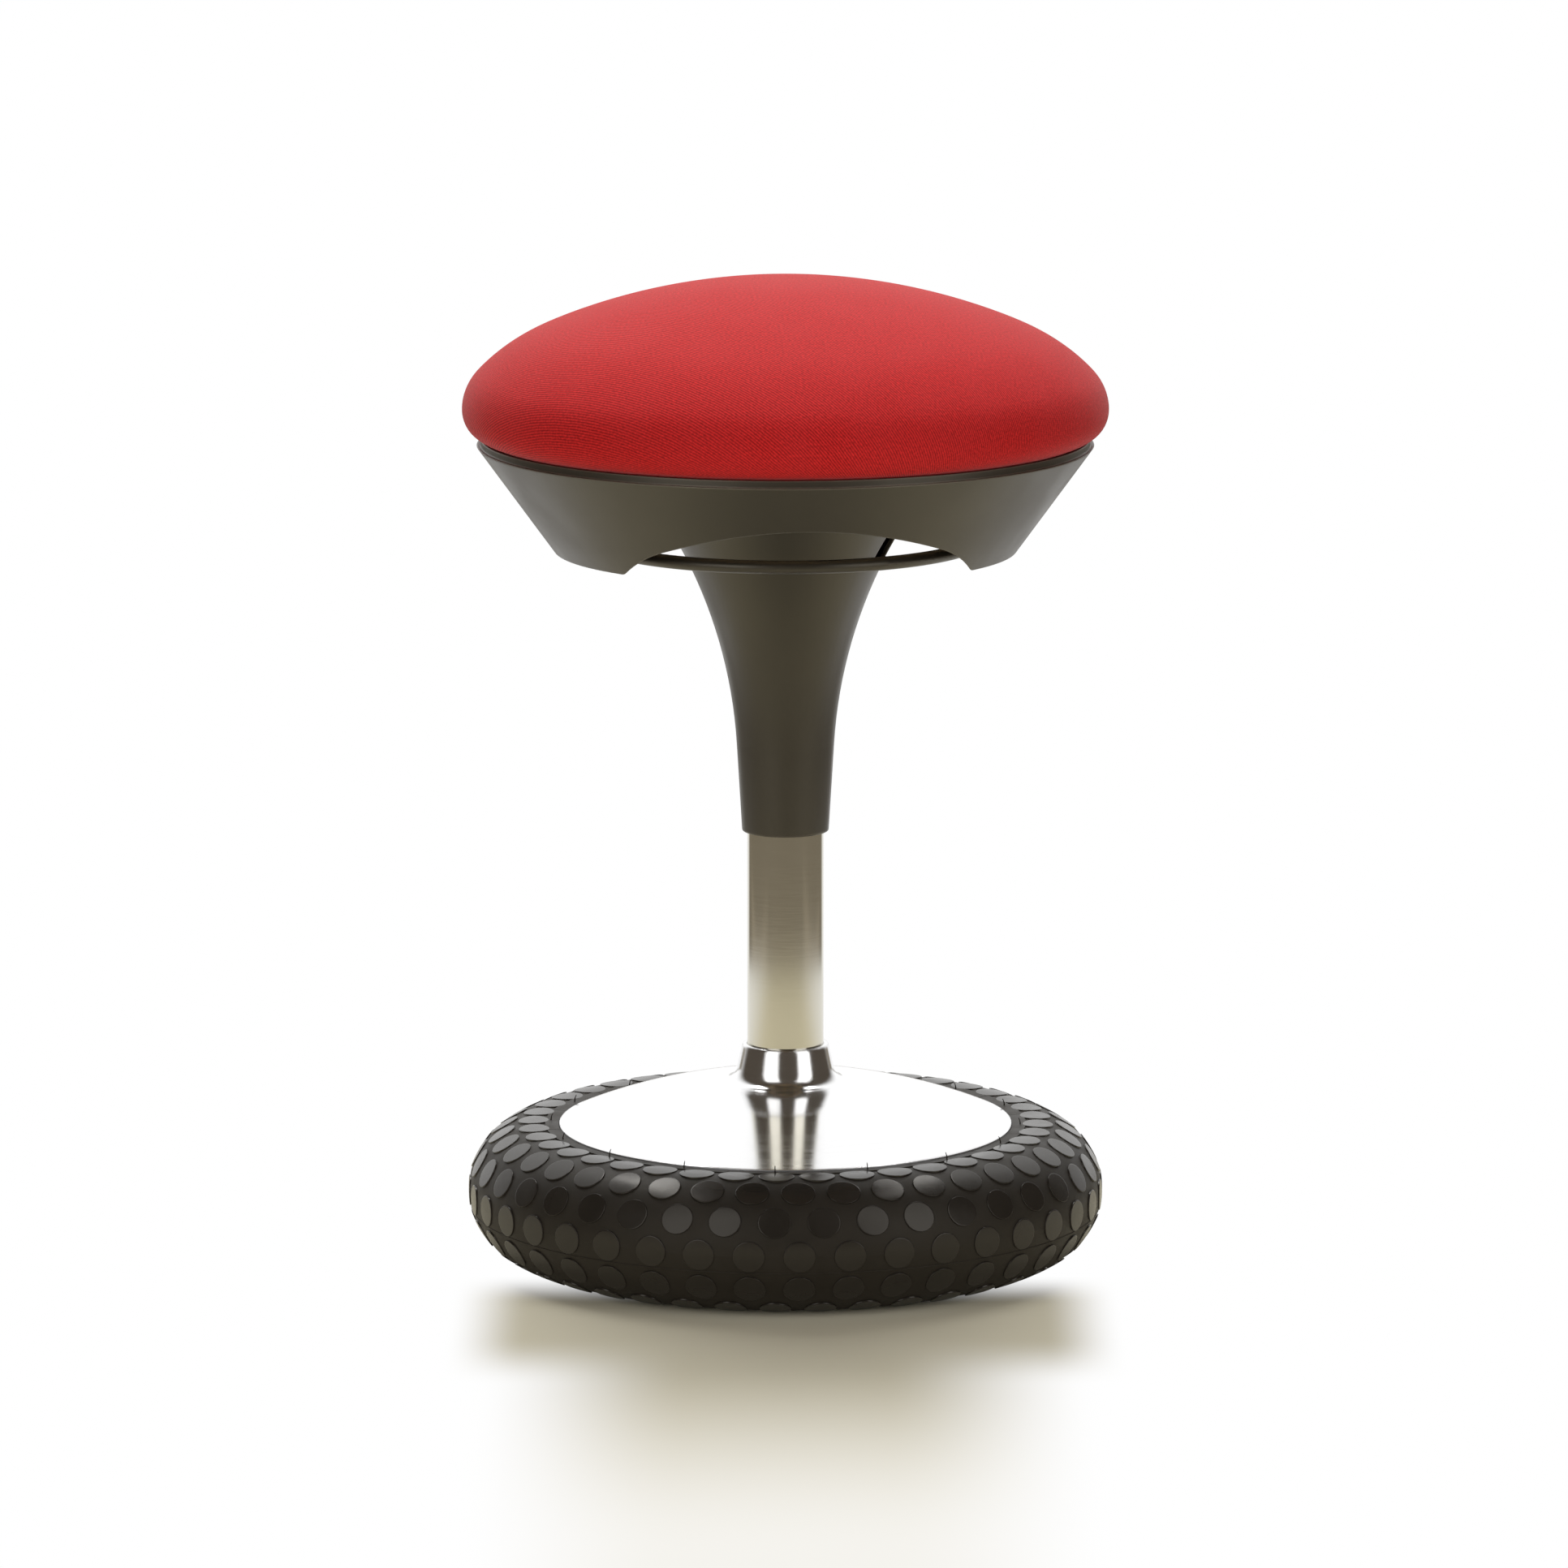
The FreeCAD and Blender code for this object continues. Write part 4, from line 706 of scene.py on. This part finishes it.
# The colour share follows the weave's height: painted shade, darker in the grooves between the
# ribs, with a random unevenness of tone added.
rib = maths(twill_group, "MULTIPLY_ADD", maths(twill_group, "SINE", diagonal), rib_height, 0.5)
beads = product(twill_group, maths(twill_group, "SINE", threads), bead_height)
surface = maths(twill_group, "ADD", rib, beads)
uneven_shade = maths(twill_group, "MULTIPLY_ADD", maths(twill_group, "SUBTRACT", uneven, 0.5),
                     uneven_share, surface)
twill_group.links.new(surface, results["Height"])
twill_group.links.new(node(twill_group, "Clamp", {"Value": uneven_shade}).outputs[0],
                      results["Shade"])

worn_share = 0.12
fuzz_depth = 0.00004
weave_depth = 0.00012
red_twill, tree, shader = new_finish("red_twill")
shader["Sheen Weight"].default_value = 0.22
shader["Sheen Roughness"].default_value = 0.3
shader["Sheen Tint"].default_value = (1.0, 0.7, 0.7, 1)
shader["Specular IOR Level"].default_value = 0.25
weave = grouped(tree, twill_group, Pitch=weave_pitch)
fuzz = grouped(tree, grain_group, Size=0.00025, Blotch_Size=0.03)
# The yarn's colour is darker in the weave's grooves and lighter on its ribs: painted shade, with a
# random unevenness of tone.
yarn_with_groove_shade = blend_colours(tree, weave["Shade"], (0.30, 0.004, 0.005), (0.78, 0.022, 0.022))
worn_yarn = blend_colours(tree, ramp(tree, fuzz["Blotch"], *noise_range, 0.0, worn_share), yarn_with_groove_shade,
                          (0.62, 0.040, 0.044))
tree.links.new(worn_yarn, shader["Base Color"])
tree.links.new(ramp(tree, fuzz["Height"], *noise_range, 0.75, 0.9), shader["Roughness"])
fuzzy = bumped(tree, fuzz["Height"], fuzz_depth)
tree.links.new(bumped(tree, weave["Height"], weave_depth, fuzzy), shader["Normal"])

# The outline seen from the side is a crown, a middle and a shoulder arc, each running smoothly into
# the next. The crown and the middle are solved to meet the cushion's height and radius.
cushion_radius, cushion_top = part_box("seat_cover")[1].xz
board_low, board_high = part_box("seat_board")
board_radius = board_high.x
cloth = 0.0012
cloth_gap = 0.0001
crown_height = 0.0724
crown_angle = math.radians(23.2)
tip_angle = crown_angle * 0.03
shoulder_angle = math.radians(45.8)
shoulder_arc = 0.02885
under_arc = 0.0155
hem_radius = 0.153
hem_round = 0.0012
equator_z = cushion_top - crown_height
sine_step = math.sin(shoulder_angle) - math.sin(crown_angle)
cosine_step = math.cos(crown_angle) - math.cos(shoulder_angle)
reach_left = cushion_radius - shoulder_arc * (1 - math.sin(shoulder_angle))
rise_left = crown_height - shoulder_arc * math.cos(shoulder_angle)
share = math.sin(crown_angle) * cosine_step - (1 - math.cos(crown_angle)) * sine_step
crown_arc = (reach_left * cosine_step - rise_left * sine_step) / share
middle_arc = (rise_left * math.sin(crown_angle) - reach_left * (1 - math.cos(crown_angle))) / share
crown_centre = (0, cushion_top - crown_arc)
middle_centre = Vector(((crown_arc - middle_arc) * math.sin(crown_angle),
                        crown_centre[1] + (crown_arc - middle_arc) * math.cos(crown_angle)))
shoulder_centre = Vector((cushion_radius - shoulder_arc, equator_z))
under_centre = Vector((cushion_radius - under_arc, equator_z))


def arc_points(centre, arc, start, end, steps):
    """Points of the outline on an arc, by angles from straight up, without the first."""
    turns = [start + (end - start) * step / steps for step in range(1, steps + 1)]
    return [Vector((centre[0] + arc * math.sin(turn), centre[1] + arc * math.cos(turn)))
            for turn in turns]


foam_side = board_radius + cloth_gap
side_reach = foam_side + cloth
hem_z = board_low.z - cloth
under_turn = math.pi - math.asin((side_reach - under_centre.x) / under_arc)
under_points = arc_points(under_centre, under_arc, math.pi / 2, under_turn, steps=7)
hem_corner = (side_reach - hem_round, hem_z + hem_round)
outline = [Vector(place) for place in
           ((0, board_high.z), (foam_side, board_high.z), (foam_side, board_low.z),
            (hem_radius, board_low.z), (hem_radius, hem_z), (hem_corner[0], hem_z))]
outline += arc_points(hem_corner, hem_round, math.pi, math.pi / 2, steps=3)
outline += [Vector((side_reach, (outline[-1].y + under_points[-1].y) / 2))]
outline += list(reversed(under_points)) + [Vector((cushion_radius, equator_z))]
outline += arc_points(shoulder_centre, shoulder_arc, math.pi / 2, shoulder_angle, steps=7)
outline += arc_points(middle_centre, middle_arc, shoulder_angle, crown_angle, steps=8)
outline += arc_points(crown_centre, crown_arc, crown_angle, tip_angle, steps=24)
outline += [Vector((0, cushion_top))]

cushion_sides = 120
bpy.ops.mesh.primitive_circle_add(vertices=len(outline), radius=1, fill_type="NOTHING")
cushion = bpy.context.object
for corner, place in zip(cushion.data.vertices, outline):
    corner.co = (place.x, 0, place.y)
pick(cushion, "EDGE", lambda edge: set(edge.vertices) == {0, len(outline) - 1})
bpy.ops.mesh.delete(type="EDGE")
bpy.ops.mesh.select_mode(type="VERT")
bpy.ops.mesh.select_all(action="SELECT")
bpy.ops.mesh.spin(steps=cushion_sides, angle=turn_round, center=(0, 0, 0), axis=(0, 0, 1))
bpy.ops.mesh.select_all(action="SELECT")
bpy.ops.mesh.remove_doubles(threshold=0.00002)
bpy.ops.mesh.normals_make_consistent(inside=False)
bpy.ops.object.mode_set(mode="OBJECT")

# The weave's map lays the cloth flat: each point lies as far from the top as along the outline.
laid_flat = [0.0]
for before, after in zip(outline, outline[1:]):
    laid_flat.append(laid_flat[-1] + (after - before).length)
flat_reach = {}
for corner in cushion.data.vertices:
    place = Vector((corner.co.xy.length, corner.co.z))
    nearest = min(range(len(outline)), key=lambda step: (outline[step] - place).length_squared)
    flat_reach[corner.index] = laid_flat[-1] - laid_flat[nearest]
for empty_map in list(cushion.data.uv_layers):
    cushion.data.uv_layers.remove(empty_map)
weave_map = cushion.data.uv_layers.new(name="laid_flat")
for loop in cushion.data.loops:
    spot = cushion.data.vertices[loop.vertex_index].co
    way = spot.xy.normalized() if spot.xy.length > 1e-6 else Vector((0, 0))
    weave_map.data[loop.index].uv = way * flat_reach[loop.vertex_index]

# The cloth is pressed outwards by the foam and held below the board's top, where it is stapled.
side_held_z = board_high.z - 0.002
core_held_z = board_high.z + 0.001
cloth_reach = 0.0015
cloth_frames = 20
held = cushion.vertex_groups.new(name="stapled_hem")
held.add([corner.index for corner in cushion.data.vertices if corner.co.z < side_held_z
          or (corner.co.xy.length < side_reach and corner.co.z < core_held_z)], 1.0, "REPLACE")
sewn = [corner.co.copy() for corner in cushion.data.vertices]
pull = cushion.modifiers.new("pulled_tight", "CLOTH")
pull.settings.quality = 5
pull.settings.vertex_group_mass = "stapled_hem"
pull.settings.use_pressure = True
pull.settings.uniform_pressure_force = 4.0
pull.settings.effector_weights.gravity = 0.0
for frame_number in range(1, cloth_frames + 1):
    bpy.context.scene.frame_set(frame_number)
settled = cushion.evaluated_get(bpy.context.evaluated_depsgraph_get()).data
moved = [Vector(corner.co) for corner in settled.vertices]
cushion.modifiers.remove(pull)
bpy.context.scene.frame_set(1)
for corner, start, end in zip(cushion.data.vertices, sewn, moved):
    shift = end - start
    corner.co = start + shift * min(1.0, cloth_reach / max(shift.length, 1e-9))
swell = cushion.modifiers.new("fine_mesh", "SUBSURF")
swell.levels = swell.render_levels = 1
bpy.ops.object.modifier_apply(modifier=swell.name)
new_piece("seat_cushion", red_twill, smooth_angle=60)
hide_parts("seat_cover", "seat_foam")
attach(cushion, "seat")


# The colour management: the standard view transform.

bpy.context.scene.view_settings.view_transform = "Standard"
